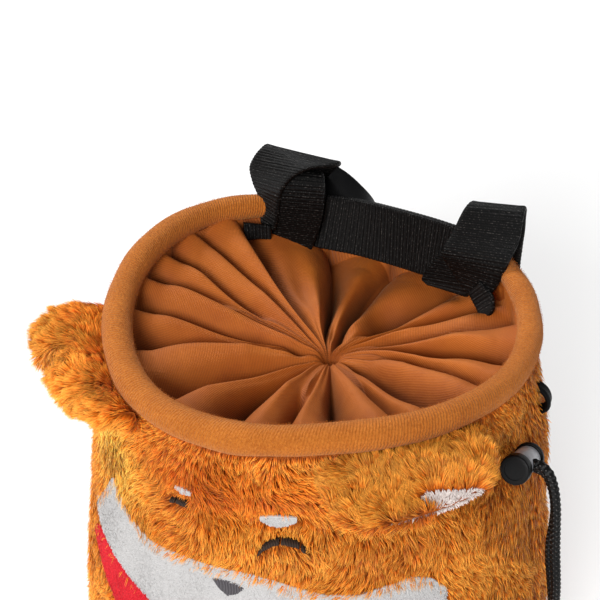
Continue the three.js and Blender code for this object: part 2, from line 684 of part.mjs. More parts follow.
function drawCord(name, route) {
  const curve = new THREE.CatmullRomCurve3(route.map(([x, y, z]) => new THREE.Vector3(x, y, z).add(lockMiddle)));
  const section = new THREE.Shape();
  for (let i = 0; i < 8; i += 1) {
    const turn = i * Math.PI / 4;
    const [x, y] = [cordDiameter / 2 * Math.cos(turn), cordDiameter / 2 * Math.sin(turn)];
    if (i) section.lineTo(x, y);
    else section.moveTo(x, y);
  }
  section.closePath();
  const tube = new THREE.ExtrudeGeometry(section, { steps: 12, extrudePath: curve, curveSegments: 1 });
  const position = tube.getAttribute('position');
  const points = Array.from({ length: position.count }, (_, i) => new THREE.Vector3().fromBufferAttribute(position, i));
  return piece(name, solid(points, points.map((_, i) => i)), '#161412', 0.8);
}

function cordKnot() {
  const half = knotLength / 2;
  const shares = [[0, -1], [0.5, -0.96], [0.92, -0.62], [0.86, -0.18], [1, 0.2], [0.9, 0.66], [0.55, 0.98], [0, 1]];
  const lathe = new THREE.LatheGeometry(shares.map(([r, y]) => new THREE.Vector2(r * knotRadius, y * half)), 10);
  const position = lathe.getAttribute('position');
  const points = Array.from({ length: position.count }, (_, i) => new THREE.Vector3().fromBufferAttribute(position, i));
  const mesh = piece('cord_knot', solid(points, [...lathe.getIndex().array]), '#161412', 0.8);
  mesh.rotation.x = Math.PI / 2;
  mesh.position.copy(knotMiddle);
  return mesh;
}

const furColor = '#c8762a';
const black = '#1c1c1e';
const bag = new THREE.Group();
bag.add(
  plushPanel('front_panel', -seamAngle, seamAngle, 30, furColor),
  plushPanel('back_panel', seamAngle, 360 - seamAngle, 28, furColor),
  basePanel(),
  rimRoll(),
  closureSkirt(),
  ear('ear_left', -1),
  ear('ear_right', 1),
  innerEar('inner_ear_left', -1),
  innerEar('inner_ear_right', 1),
  facePatch('face_mask', maskRows, { lines: 3 }, '#d6d4d2', 0.9),
  facePatch('scarf', scarfRows, { lines: 3 }, '#d82a35', 0.85),
  facePatch('nose', noseRows, { lift: patchAllowance }, '#3c3a3c', 0.6),
  facePatch('brow_left', browRows, { middle: -eyeSpread, raise: leftRaise }, '#e0dcdc', 0.9),
  facePatch('brow_right', browRows, { middle: eyeSpread }, '#e0dcdc', 0.9),
  facePatch('eye_left', eyeRows, { middle: -eyeSpread, raise: leftRaise, mirror: -1, lines: 1 }, '#2c211c', 0.6),
  facePatch('eye_right', eyeRows, { middle: eyeSpread, lines: 1 }, '#2c211c', 0.6),
  webbingBand(),
  strap('webbing_loop_right', rightLoopRoute, webbingThickness, webbingWidth, black),
  strap('webbing_loop_left', leftLoopRoute, webbingThickness, webbingWidth, black),
  strap('webbing_tail_right', rightTailRoute, webbingThickness, webbingWidth, black),
  strap('webbing_tail_left', leftTailRoute, webbingThickness, webbingWidth, black),
  brushSleeve(),
  sideLoop(),
  lockBarrel(),
  lockButton(),
  lockCap(),
  drawCord('draw_cord_front', frontCordRoute),
  drawCord('draw_cord_back', backCordRoute),
  cordKnot(),
);

export default bag;
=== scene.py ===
import math
import bpy
import numpy as np
from mathutils import Matrix


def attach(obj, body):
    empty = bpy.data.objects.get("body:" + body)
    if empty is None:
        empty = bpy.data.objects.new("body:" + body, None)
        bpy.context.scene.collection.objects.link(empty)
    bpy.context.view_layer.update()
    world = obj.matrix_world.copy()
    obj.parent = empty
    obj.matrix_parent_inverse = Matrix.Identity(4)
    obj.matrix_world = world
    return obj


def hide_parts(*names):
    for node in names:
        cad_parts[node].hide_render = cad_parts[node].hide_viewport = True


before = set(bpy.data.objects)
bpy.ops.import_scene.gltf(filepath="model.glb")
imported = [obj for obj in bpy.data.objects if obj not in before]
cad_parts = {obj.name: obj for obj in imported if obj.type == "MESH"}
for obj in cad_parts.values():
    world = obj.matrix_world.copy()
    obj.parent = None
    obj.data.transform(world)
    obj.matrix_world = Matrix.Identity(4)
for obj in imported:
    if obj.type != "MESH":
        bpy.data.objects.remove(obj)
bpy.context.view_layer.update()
bpy.ops.object.select_all(action="DESELECT")

mm = 0.001
degree = math.pi / 180


def table(columns, *rows):  # rows with named columns
    names = columns.split()
    return [dict(zip(names, row)) for row in rows]


def column(rows, name):
    return np.array([row[name] for row in rows], float)


# Sizes in millimetres; the bag stands on its round base with its face towards -Y
bag = {"height": 150, "rim": 62, "roll": 4.1, "belly": 75, "wall": 4, "seam": 92, "faceTurn": 2.5, "gap": 0.3,
       "patchLift": 0.45}

rimRows = table(
    "out lift girth",  # every 30 degrees from +X
    (1.010, 0.005, 0.96), (0.990, 0.013, 0.91), (0.972, 0.000, 0.89), (0.925, -0.044, 0.90),
    (0.985, -0.037, 0.93), (1.006, 0.021, 0.98), (0.980, 0.044, 1.05), (0.990, -0.018, 1.11),
    (1.010, -0.073, 1.13), (1.006, -0.032, 1.13), (0.997, 0.035, 1.09), (1.008, 0.034, 1.03))

bodyRows = table(
    "down out",
    (0.035, 0.852), (0.10, 0.872), (0.17, 0.894), (0.24, 0.918), (0.32, 0.938), (0.42, 0.952), (0.54, 0.976),
    (0.68, 0.996), (0.82, 1.000), (0.91, 0.985), (0.96, 0.975), (0.985, 0.952), (0.994, 0.93))

dentRows = table(
    "at down wide tall deep",  # dents and bulges of the plush, at in degrees from the face
    (10, 0.175, 34, 0.030, 0.012), (-14, 0.235, 8, 0.030, 0.010), (14, 0.110, 30, 0.035, -0.008),
    (52, 0.190, 20, 0.030, 0.014), (66, 0.270, 14, 0.050, -0.009), (80, 0.160, 9, 0.050, 0.014),
    (91, 0.300, 5, 0.200, 0.010), (-91, 0.300, 5, 0.200, 0.010), (125, 0.420, 26, 0.060, 0.010),
    (180, 0.150, 34, 0.060, 0.016), (-140, 0.500, 30, 0.070, 0.011))


def unit(vectors):
    return vectors / np.maximum(np.linalg.norm(vectors, axis=-1, keepdims=True), 1e-9)


def smoothStep(value, low, high):
    share = np.clip((value - low) / (high - low), 0, 1)
    return share * share * (3 - 2 * share)


def mix(a, b, share):
    return a + (b - a) * share


def catmull(a, b, c, d, share):
    return b + 0.5 * share * (c - a + share * (2 * a - 5 * b + 4 * c - d + share * (3 * (b - c) + d - a)))


def aroundRim(name, angle):
    values = column(rimRows, name)
    count = len(values)
    place = (np.asarray(angle, float) % 360) / 360 * count
    first = np.floor(place).astype(int)
    return catmull(*(values[(first + step) % count] for step in (-1, 0, 1, 2)), place - first)


def rimOut(angle):
    return bag["rim"] * aroundRim("out", angle)


def rimUp(angle):
    return bag["height"] + bag["rim"] * aroundRim("lift", angle)


def rimGirth(angle):
    return bag["roll"] * aroundRim("girth", angle)


def polar(angle, radius, up):
    turn = np.asarray(angle, float) * degree
    return np.stack(np.broadcast_arrays(radius * np.cos(turn), radius * np.sin(turn), up), -1)


def plush(at, down, offset=0.0):  # outside of the plush; down is a share of the height, below the rim
    at, down = np.asarray(at, float), np.asarray(down, float)
    angle = at - 90
    profile = bag["belly"] * np.interp(down, column(bodyRows, "down"), column(bodyRows, "out"))
    neck = np.minimum(rimOut(angle) + 0.45 * bag["roll"], profile)
    radius = neck + (profile - neck) * smoothStep(down, 0, 0.2)
    for dent in dentRows:
        turn = (at - dent["at"] + 540) % 360 - 180
        near = np.exp(-(turn / dent["wide"]) ** 2 - ((down - dent["down"]) / dent["tall"]) ** 2)
        radius = radius - dent["deep"] * bag["height"] * near
    lift = (rimUp(angle) - bag["height"]) * (1 - smoothStep(down, 0.1, 0.6))
    return polar(angle, radius + offset, bag["height"] * (1 - down) + lift)


def ripple(points, size, seed, waves=8):  # smooth noise of about unit height from a few crossing waves
    odds = np.random.default_rng(seed)
    total = 0
    for _ in range(waves):
        along = unit(odds.normal(size=3)) * 2 * math.pi / (size * odds.uniform(0.7, 1.6))
        total = total + np.sin(points @ along + odds.uniform(0, 2 * math.pi))
    return total / math.sqrt(waves / 2)


# Meshes
def meshPiece(name, points, faces, material, uv=None, tint=None):  # uv for each point, or for each corner
    groups = [np.asarray(group, int) for group in (faces if isinstance(faces, list) else [faces])]
    corners = np.concatenate([group.ravel() for group in groups])
    lengths = np.concatenate([np.full(len(group), group.shape[1]) for group in groups])
    points = np.asarray(points, float).reshape(-1, 3) * mm
    mesh = bpy.data.meshes.new(name)
    mesh.vertices.add(len(points))
    mesh.vertices.foreach_set("co", points.ravel())
    mesh.loops.add(len(corners))
    mesh.polygons.add(len(lengths))
    mesh.polygons.foreach_set("loop_start", np.concatenate([[0], np.cumsum(lengths)[:-1]]))
    mesh.polygons.foreach_set("vertices", corners)
    mesh.update(calc_edges=True)
    if uv is not None:
        pairs = np.asarray(uv, float).reshape(-1, 2)
        pairs = pairs if len(pairs) == len(corners) else pairs[corners]
        mesh.uv_layers.new(name="UVMap").data.foreach_set("uv", pairs.ravel())
    if tint is not None:
        colours = mesh.color_attributes.new("tint", "FLOAT_COLOR", "POINT")
        colours.data.foreach_set("color", np.asarray(tint).ravel())
    mesh.polygons.foreach_set("use_smooth", np.ones(len(lengths), bool))
    mesh.materials.append(material)
    piece = bpy.data.objects.new(name, mesh)
    bpy.context.collection.objects.link(piece)
    return piece


def gridFaces(rows, columns, loopRows=False, loopColumns=False):
    a, b = np.meshgrid(np.arange(rows if loopRows else rows - 1),
                       np.arange(columns if loopColumns else columns - 1), indexing="ij")
    c, d = (a + 1) % rows, (b + 1) % columns
    return np.stack([a * columns + b, c * columns + b, c * columns + d, a * columns + d], -1).reshape(-1, 4)


def outwards(points, faces):  # turns the faces of a closed body to the outside
    corners = np.asarray(points, float).reshape(-1, 3)[faces]
    volume = sum(np.einsum("ij,ij->i", corners[:, 0], np.cross(corners[:, k], corners[:, k + 1])).sum()
                 for k in range(1, faces.shape[1] - 1))
    return faces if volume > 0 else faces[:, ::-1]


def wallShape(outer, inner, wrapped=False):  # closed cloth wall between two grids of (columns, rows) points
    rings = np.concatenate([outer, inner[:, ::-1]], 1)
    columns, around = rings.shape[:2]
    faces = gridFaces(columns, around, wrapped, True)
    if not wrapped:
        j = np.arange(outer.shape[1] - 1)
        ladder = np.stack([j, j + 1, around - 2 - j, around - 1 - j], -1)
        faces = np.concatenate([faces, ladder, ladder[:, ::-1] + (columns - 1) * around])
    return rings.reshape(-1, 3), outwards(rings, faces)


def loftShape(rings):  # closed body from rings of points, a fan on each end
    count, around = rings.shape[:2]
    points = np.concatenate([rings.reshape(-1, 3), rings[[0, -1]].mean(1)])
    j = np.arange(around)
    k = (j + 1) % around
    low = np.stack([np.full(around, count * around), j, k], -1)
    high = np.stack([np.full(around, count * around + 1), k, j], -1)
    high[:, 1:] += (count - 1) * around
    quads = gridFaces(count, around, False, True)
    split = np.concatenate([quads[:, [0, 1, 2]], quads[:, [0, 2, 3]], low, high])
    if outwards(points, split) is split:
        return points, [quads, low, high]
    return points, [quads[:, ::-1], low[:, ::-1], high[:, ::-1]]


def dressed(piece, replaced=(), body="bag"):
    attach(piece, body)
    if replaced:
        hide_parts(*replaced)
    return piece


# Materials
wavePeriod = 0.314  # a wave texture at scale 1 repeats after this
toMillimetres = (1 / mm, 1 / mm, 1 / mm)


def linearColour(code):  # sRGB hex to linear
    parts = [int(code[i:i + 2], 16) / 255 for i in (1, 3, 5)]
    return [p / 12.92 if p <= 0.04045 else ((p + 0.055) / 1.055) ** 2.4 for p in parts] + [1.0]


def setInputs(node, inputs):  # each is a value, an output, or a node whose first output is meant
    for name, value in inputs.items():
        if isinstance(value, bpy.types.Node):
            value = value.outputs[0]
        if isinstance(value, bpy.types.NodeSocket):
            node.id_data.links.new(value, node.inputs[name])
        else:
            node.inputs[name].default_value = value


def addNode(material, kind, inputs=None, stops=(), **settings):
    node = material.node_tree.nodes.new("ShaderNode" + kind)
    for name, value in settings.items():
        setattr(node, name, value)
    for _ in stops[2:]:
        node.color_ramp.elements.new(0.5)
    for i, (place, code) in enumerate(stops):
        node.color_ramp.elements[i].position = place
        node.color_ramp.elements[i].color = linearColour(code)
    setInputs(node, inputs or {})
    return node


def newMaterial(name, inputs):
    material = bpy.data.materials.new(name)
    material.use_nodes = True
    shader = material.node_tree.nodes["Principled BSDF"]
    setInputs(shader, inputs)
    return material, shader


def pileMaterial(name, rootCode, middleCode, tipCode, sheen=0.08, darkest=0.6, brightest=1.32):
    # Cut polyester plush, a little silky at the tips: its own colour in the middle, painted shade darkening it
    # towards the roots between the locks, a painted highlight brightening the tips
    material, shader = newMaterial(name, {"Roughness": 0.55, "Specular IOR Level": 0.16, "Sheen Weight": sheen,
                                          "Sheen Roughness": 0.4, "Sheen Tint": (1, 0.8, 0.6, 1)})
    parts = addNode(material, "SeparateXYZ", {"Vector": addNode(material, "UVMap", uv_map="UVMap")})
    # root to tip: painted shade at the root, the plush's own colour, painted highlight at the tip
    along = addNode(material, "ValToRGB", {"Fac": parts.outputs["Y"]},
                    [(0.0, rootCode), (0.5, middleCode), (1.0, tipCode)])
    tint = addNode(material, "Attribute", attribute_name="tint")
    shade = addNode(material, "MapRange",
                    {"Value": parts.outputs["X"], "To Min": darkest, "To Max": brightest})
    tinted = addNode(material, "VectorMath", {0: along, 1: tint}, operation="MULTIPLY")
    shaded = addNode(material, "VectorMath", {0: tinted, "Scale": shade}, operation="SCALE")
    setInputs(shader, {"Base Color": shaded})
    return material


def backingMaterial(name, darkCode, lightCode):
    # The plush's knitted ground, seen only between the locks
    material, shader = newMaterial(name, {"Roughness": 0.95, "Specular IOR Level": 0.1})
    place = addNode(material, "TexCoord").outputs["Object"]
    cloud = addNode(material, "TexNoise", {"Vector": place, "Scale": 0.22 / mm, "Detail": 3, "Roughness": 0.6})
    knit = addNode(material, "TexNoise", {"Vector": place, "Scale": 0.9 / mm, "Detail": 3, "Roughness": 0.6})
    colour = addNode(material, "ValToRGB", {"Fac": cloud}, [(0.3, darkCode), (0.7, lightCode)])
    setInputs(shader, {"Base Color": colour,
                       "Normal": addNode(material, "Bump", {"Height": knit, "Distance": 0.4 * mm})})
    return material


def fleeceMaterial():
    # Brushed cotton jersey: fine slanting wales 0.85 mm apart under a matt, slightly pale nap
    material, shader = newMaterial("brushedJersey", {
        "Roughness": 0.9, "Specular IOR Level": 0.15, "Sheen Weight": 0.2, "Sheen Roughness": 0.5,
        "Sheen Tint": (1, 0.72, 0.45, 1)})
    grain = addNode(material, "Mapping", {"Vector": addNode(material, "UVMap", uv_map="UVMap"),
                                          "Scale": toMillimetres, "Rotation": (0, 0, 14 * degree)})
    place = addNode(material, "TexCoord").outputs["Object"]
    wales = addNode(material, "TexWave", {"Vector": grain, "Scale": wavePeriod / 0.85, "Distortion": 3,
                                          "Detail": 3, "Detail Scale": 2}, bands_direction="X")
    nap = addNode(material, "TexNoise", {"Vector": place, "Scale": 1.5 / mm, "Detail": 4, "Roughness": 0.6})
    cloud = addNode(material, "TexNoise", {"Vector": place, "Scale": 0.09 / mm, "Detail": 4, "Roughness": 0.6})
    broad = addNode(material, "ValToRGB", {"Fac": cloud}, [(0.3, "#9c4e12"), (0.7, "#bc6820")])
    fuzz = addNode(material, "ValToRGB", {"Fac": nap}, [(0.35, "#9a5418"), (0.65, "#c67c32")])
    both = addNode(material, "VectorMath", {0: broad, 1: fuzz}, operation="ADD")
    half = addNode(material, "VectorMath", {0: both, "Scale": 0.5}, operation="SCALE")
    height = addNode(material, "Math", {0: wales.outputs["Fac"], 1: 0.8, 2: nap}, operation="MULTIPLY_ADD")
    setInputs(shader, {"Base Color": half,
                       "Normal": addNode(material, "Bump", {"Height": height, "Distance": 0.2 * mm})})
    return material


def twillMaterial():
    # Cotton twill: diagonal lines 0.5 mm apart and a low sheen; the tint attribute paints shade into the creases
    # and a highlight onto the fold crests
    material, shader = newMaterial("cottonTwill", {
        "Roughness": 0.62, "Specular IOR Level": 0.25, "Sheen Weight": 0.1, "Sheen Roughness": 0.35,
        "Sheen Tint": (1, 0.7, 0.4, 1)})
    grain = addNode(material, "Mapping", {"Vector": addNode(material, "UVMap", uv_map="UVMap"),
                                          "Scale": toMillimetres, "Rotation": (0, 0, 45 * degree)})
    lines = addNode(material, "TexWave", {"Vector": grain, "Scale": wavePeriod / 0.5233, "Distortion": 0.6,
                                          "Detail": 2, "Detail Scale": 3}, bands_direction="X")
    cross = addNode(material, "TexWave", {"Vector": grain, "Scale": wavePeriod / 0.4486, "Distortion": 0.6,
                                          "Detail": 1}, bands_direction="Y")
    place = addNode(material, "TexCoord").outputs["Object"]
    cloud = addNode(material, "TexNoise", {"Vector": place, "Scale": 0.06 / mm, "Detail": 5, "Roughness": 0.6})
    weave = addNode(material, "Math", {0: lines.outputs["Fac"], 1: cross.outputs["Fac"]}, operation="MULTIPLY")
    thread = addNode(material, "ValToRGB", {"Fac": lines.outputs["Fac"]}, [(0.1, "#7f3b0b"), (0.7, "#be661e")])
    broad = addNode(material, "ValToRGB", {"Fac": cloud}, [(0.3, "#92440f"), (0.7, "#bc681e")])
    both = addNode(material, "VectorMath", {0: thread, 1: broad}, operation="ADD")
    half = addNode(material, "VectorMath", {0: both, "Scale": 0.5}, operation="SCALE")
    # tint: painted shade in the creases and hollows, painted highlight on the crests
    tint = addNode(material, "Attribute", attribute_name="tint")
    shaded = addNode(material, "VectorMath", {0: half, 1: tint}, operation="MULTIPLY")
    setInputs(shader, {"Base Color": shaded,
                       "Normal": addNode(material, "Bump", {"Height": weave, "Distance": 0.12 * mm})})
    return material


def webbingMaterial():
    # Ribbed polyester webbing: charcoal threads, with a painted highlight on each rib
    material, shader = newMaterial("grosgrainWebbing", {"Roughness": 0.5, "Specular IOR Level": 0.16})
    grain = addNode(material, "Mapping", {"Vector": addNode(material, "UVMap", uv_map="UVMap"),
                                          "Scale": toMillimetres})
    threads = addNode(material, "TexWave", {"Vector": grain, "Scale": wavePeriod / 0.4187, "Distortion": 0.8,
                                            "Detail": 1}, bands_direction="Y")
    ribs = addNode(material, "TexWave", {"Vector": grain, "Scale": wavePeriod / 0.7536, "Distortion": 0.2,
                                         "Detail": 0}, bands_direction="X")
    fleck = addNode(material, "TexNoise", {"Vector": grain, "Scale": 1.6, "Detail": 2, "Roughness": 0.6})
    paintedRibHighlight = addNode(material, "Math", {0: ribs.outputs["Fac"], 1: fleck}, operation="MULTIPLY")
    # painted highlight: the colour turns pale grey on the crest of each rib
    colour = addNode(material, "ValToRGB", {"Fac": paintedRibHighlight},
                     [(0.1, "#030303"), (0.5, "#090909"), (0.76, "#66625e")])
    bump = addNode(material, "Bump", {"Height": threads.outputs["Fac"], "Distance": 0.12 * mm})
    setInputs(shader, {"Base Color": colour, "Normal": bump})
    return material


def elasticMaterial():
    # Smooth satin elastic: fine even threads, a low shine
    material, shader = newMaterial("satinElastic", {"Roughness": 0.55, "Specular IOR Level": 0.1})
    grain = addNode(material, "Mapping", {"Vector": addNode(material, "UVMap", uv_map="UVMap"),
                                          "Scale": toMillimetres})
    threads = addNode(material, "TexWave", {"Vector": grain, "Scale": wavePeriod / 0.3925, "Distortion": 0.4},
                      bands_direction="Y").outputs["Fac"]
    setInputs(shader, {"Base Color": addNode(material, "ValToRGB", {"Fac": threads},
                                             [(0.0, "#040405"), (1.0, "#0a0a0b")]),
                       "Normal": addNode(material, "Bump", {"Height": threads, "Distance": 0.04 * mm})})
    return material


def cordMaterial():
    # Round braided polyester cord: black strands that cross both ways, with small bright flecks
    material, shader = newMaterial("braidedPolyester", {"Roughness": 0.5, "Specular IOR Level": 0.2})
    strands = []
    for way in (-1, 1):
        grain = addNode(material, "Mapping", {"Vector": addNode(material, "UVMap", uv_map="UVMap"),
                                              "Scale": toMillimetres, "Rotation": (0, 0, way * 42 * degree)})
        strand = addNode(material, "TexWave", {"Vector": grain, "Scale": wavePeriod / 1.35, "Distortion": 0.5},
                         bands_direction="X")
        strands.append(strand.outputs["Fac"])
    crossing = addNode(material, "Math", {0: strands[0], 1: strands[1]}, operation="MULTIPLY")
    colour = addNode(material, "ValToRGB", {"Fac": crossing},
                     [(0.3, "#040404"), (0.72, "#0c0b0b"), (0.9, "#4c4846")])
    setInputs(shader, {"Base Color": colour,
                       "Normal": addNode(material, "Bump", {"Height": crossing, "Distance": 0.25 * mm})})
    return material


def plasticMaterial(name, darkCode, lightCode, roughness, gloss):
    # Injection-moulded acetal: even gloss with the faint grain of the mould
    material, shader = newMaterial(name, {"Roughness": roughness, "Specular IOR Level": gloss})
    place = addNode(material, "TexCoord").outputs["Object"]
    cloud = addNode(material, "TexNoise", {"Vector": place, "Scale": 0.4 / mm, "Detail": 3, "Roughness": 0.6})
    mould = addNode(material, "TexNoise", {"Vector": place, "Scale": 2.5 / mm, "Detail": 3, "Roughness": 0.6})
    colour = addNode(material, "ValToRGB", {"Fac": cloud}, [(0.3, darkCode), (0.7, lightCode)])
    setInputs(shader, {"Base Color": colour,
                       "Normal": addNode(material, "Bump", {"Height": mould, "Distance": 0.03 * mm})})
    return material


def stitchMaterial(name, darkCode, lightCode):
    # Satin stitch in rayon thread: ridges 0.5 mm apart with a silky shine
    material, shader = newMaterial(name, {"Roughness": 0.6, "Specular IOR Level": 0.2})
    grain = addNode(material, "Mapping", {"Vector": addNode(material, "UVMap", uv_map="UVMap"),
                                          "Scale": toMillimetres})
    threads = addNode(material, "TexWave", {"Vector": grain, "Scale": wavePeriod / 0.5, "Distortion": 1.2,
                                            "Detail": 2}, bands_direction="X").outputs["Fac"]
    colour = addNode(material, "ValToRGB", {"Fac": threads}, [(0.1, darkCode), (0.8, lightCode)])
    setInputs(shader, {"Base Color": colour,
                       "Normal": addNode(material, "Bump", {"Height": threads, "Distance": 0.2 * mm})})
    return material


orangePile = pileMaterial("plushPileOrange", "#742c08", "#cc6812", "#fbb448")
whitePile = pileMaterial("plushPileWhite", "#b2b0af", "#b9b7b6", "#c2c0bf", 0.05, 0.94, 1.05)
palePile = pileMaterial("plushPilePale", "#b3a29a", "#cfc2bc", "#ece2de", 0.1, 0.85, 1.1)
redPile = pileMaterial("plushPileRed", "#b01424", "#ca1e2c", "#e63438", 0.05, 0.9, 1.1)
napPile = pileMaterial("fleeceNap", "#8e4616", "#b66424", "#d4863a", 0.1, 0.85, 1.15)
orangeBacking = backingMaterial("plushGroundOrange", "#7a3610", "#a8581c")
whiteBacking = backingMaterial("plushGroundWhite", "#b6b4b3", "#bcbab9")
redBacking = backingMaterial("plushGroundRed", "#b41420", "#cc2430")
fleece = fleeceMaterial()
twill = twillMaterial()
webbing = webbingMaterial()
elastic = elasticMaterial()
braid = cordMaterial()
blackPlastic = plasticMaterial("mouldedBlack", "#040404", "#080809", 0.42, 0.16)
# the barrel's grey is partly its own colour and partly painted light: made paler to stand in for the bright
# reflection on a side turned from the lamps
greyPlastic = plasticMaterial("mouldedGrey", "#a4a5aa", "#b6b7bc", 0.2, 0.6)
noseThread = stitchMaterial("satinStitchGrey", "#2c292c", "#6a666a")
eyeThread = stitchMaterial("satinStitchDark", "#140e0b", "#4a3a30")
print("materials done")


# Camera at the photograph's viewing angle
shot = {"azimuth": 25, "elevation": 36, "roll": 1, "distance": 560.7, "focal": 1869, "image": 600, "sensor": 36,
        "aimPixel": (322.5, 311), "aim": (0, 0, 150)}


def placed(across, over, back, place):  # a matrix from its three axes and its place
    rows = np.stack([across, over, back, place], 1)
    return Matrix([*rows.tolist(), (0, 0, 0, 1)])


def placeCamera():
    azimuth, elevation, roll = (shot[name] * degree for name in ("azimuth", "elevation", "roll"))
    back = np.array([math.sin(azimuth) * math.cos(elevation), -math.cos(azimuth) * math.cos(elevation),
                     math.sin(elevation)])
    level = np.array([math.cos(azimuth), math.sin(azimuth), 0])
    above = np.cross(back, level)
    right = level * math.cos(roll) + above * math.sin(roll)
    up = above * math.cos(roll) - level * math.sin(roll)
    aside, below = (place - shot["image"] / 2 for place in shot["aimPixel"])
    ahead, across, over = -back, right, up
    for _ in range(20):  # turned until the aim point falls on its pixel
        ahead = unit(ahead - back - unit(ahead * shot["focal"] + across * aside - over * below))
        across = unit(right - ahead * (right @ ahead))
        over = np.cross(across, ahead)
    place = (np.array(shot["aim"]) + back * shot["distance"]) * mm
    data = bpy.data.cameras.new("camera")
    data.lens = shot["focal"] / shot["image"] * shot["sensor"]
    data.sensor_width = shot["sensor"]
    data.clip_start = 0.01
    camera = bpy.data.objects.new("camera", data)
    bpy.context.collection.objects.link(camera)
    camera.matrix_world = placed(across, over, -ahead, place)
    bpy.context.scene.camera = camera


placeCamera()


# Draw cords and the knot on their ends
cords = {"diameter": 3.0, "sides": 20, "braidPitch": 3.4, "braidDepth": 0.22, "knot": (84.2, -12.3, 65.0),
         "knotReach": 0.83, "knotTall": 2.9}
frontCordRoute = [
    (72.4, -12.3, 127.6), (74.85, -12.2, 127.7), (76.8, -12.4, 127.4), (79.0, -12.8, 125.6),
    (80.9, -13.4, 121.4), (82.2, -14.0, 115.4),
    (83.0, -14.6, 108.4), (83.8, -15.2, 100.6), (84.8, -15.6, 92.6), (85.4, -15.2, 84.4), (85.2, -14.3, 76.6),
    (84.6, -14.0, 70.4)]
backCordRoute = [
    (72.4, -10.5, 125.0), (74.85, -10.4, 124.6), (76.5, -10.2, 124.0), (78.2, -9.9, 121.6),
    (79.9, -9.8, 117.0), (80.9, -9.8, 111.0),
    (80.8, -9.4, 104.4), (80.4, -9.0, 97.0), (80.9, -8.9, 89.4), (82.2, -9.4, 82.2), (83.4, -10.2, 75.8),
    (83.8, -10.6, 70.4)]


def smoothPath(points, count, closed=False):  # evenly spaced points on a smooth curve through the given ones
    points = np.asarray(points, float)
    if closed:
        framed = np.concatenate([points[-1:], points, points[:2]])
    else:
        framed = np.concatenate([2 * points[:1] - points[1:2], points, 2 * points[-1:] - points[-2:-1]])
    share = np.linspace(0, 1, 24, endpoint=False)[:, None]
    spans = [catmull(*framed[i:i + 4], share) for i in range(len(framed) - 3)]
    dense = np.concatenate(spans + [framed[-2:-1]])
    length = np.concatenate([[0], np.cumsum(np.linalg.norm(np.diff(dense, axis=0), axis=1))])
    stops = np.linspace(0, length[-1], count)
    return np.stack([np.interp(stops, length, dense[:, k]) for k in range(dense.shape[1])], -1), length[-1]


def tubeRings(path, radius, sides, closed=False):  # rings round a path, turned as little as possible
    ahead = np.roll(path, -1, 0) - np.roll(path, 1, 0) if closed else np.gradient(path, axis=0)
    ahead = unit(ahead)
    side = unit(np.cross(ahead[0], [0.3, 1, 0.2]))
    turn = np.arange(sides) * 2 * math.pi / sides
    rings = []
    for i, centre in enumerate(path):
        side = unit(side - ahead[i] * (side @ ahead[i]))
        over = np.cross(ahead[i], side)
        wide = radius(i, turn)[:, None]
        rings.append(centre + wide * (np.cos(turn)[:, None] * side + np.sin(turn)[:, None] * over))
    return np.stack(rings)


def braidRadius(step):  # strands crossing both ways round the cord
    def radius(i, turn):
        along = i * step * 2 * math.pi / cords["braidPitch"]
        crossing = np.abs(np.sin(2 * turn + along)) + np.abs(np.sin(2 * turn - along))
        return cords["diameter"] / 2 - cords["braidDepth"] + cords["braidDepth"] * (crossing - 0.6)
    return radius


def cordPiece(name, route, node, closed=False):
    count = 240
    path, length = smoothPath(route, count, closed)
    rings = tubeRings(path, braidRadius(length / count), cords["sides"], closed)
    turn = np.linspace(0, cords["diameter"] * math.pi * mm, cords["sides"], endpoint=False)
    uv = np.stack(np.meshgrid(np.linspace(0, length * mm, count), turn, indexing="ij"), -1).reshape(-1, 2)
    if closed:
        points, faces = rings.reshape(-1, 3), outwards(rings, gridFaces(count, cords["sides"], True, True))
    else:
        points, faces = loftShape(rings)
        uv = np.concatenate([uv, uv[[0, -1]]])
    piece = dressed(meshPiece(name, points, faces, braid, uv), [node])
    return piece, [tuple(spot) for spot in smoothPath(route, 36)[0] * mm], length * mm


def knotPiece():  # an overhand knot that ties both cords together
    t = np.linspace(0, 2 * math.pi, 36, endpoint=False)
    reach = cords["knotReach"]
    loop = np.stack([reach * (np.sin(t) + 2 * np.sin(2 * t)), reach * (np.cos(t) - 2 * np.cos(2 * t)),
                     -cords["knotTall"] * np.sin(3 * t)], -1) + cords["knot"]
    return cordPiece("cordKnot", loop, "cord_knot", closed=True)[0]


cordKnot = knotPiece()
for cordName, route, node, others in (("drawCordFront", frontCordRoute, "draw_cord_front", [cordKnot]),
                                      ("drawCordBack", backCordRoute, "draw_cord_back", [])):
    cord, path, cordLength = cordPiece(cordName, route, node)
print("camera and cords done")


# Pile: locks of tapered blades, rooted in a backing and combed over it
pile = {
    "orange": {"length": 4.7, "width": 0.27, "rise": 25, "lock": 1.5, "pull": 0.6, "swerve": 0.6,
               "mottle": 0.34, "material": orangePile},
    "back": {"length": 4.7, "width": 0.42, "rise": 25, "lock": 1.7, "pull": 0.6, "swerve": 0.6,
             "mottle": 0.34, "material": orangePile},
    "ear": {"length": 4.8, "width": 0.29, "rise": 28, "lock": 1.6, "pull": 0.6, "swerve": 0.7,
            "mottle": 0.34, "material": orangePile},
    "white": {"length": 0.9, "width": 0.26, "rise": 18, "lock": 1.2, "pull": 0.1, "swerve": 0.4,
              "mottle": 0.03, "material": whitePile},
    "pale": {"length": 1.6, "width": 0.26, "rise": 26, "lock": 1.2, "pull": 0.1, "swerve": 0.5,
             "mottle": 0.06, "material": palePile},
    "red": {"length": 0.9, "width": 0.26, "rise": 18, "lock": 1.2, "pull": 0.1, "swerve": 0.4,
            "mottle": 0.04, "material": redPile},
    "nap": {"length": 0.75, "width": 0.11, "rise": 46, "lock": 0.8, "pull": 0.3, "swerve": 5.0,
            "mottle": 0.1, "material": napPile},
}


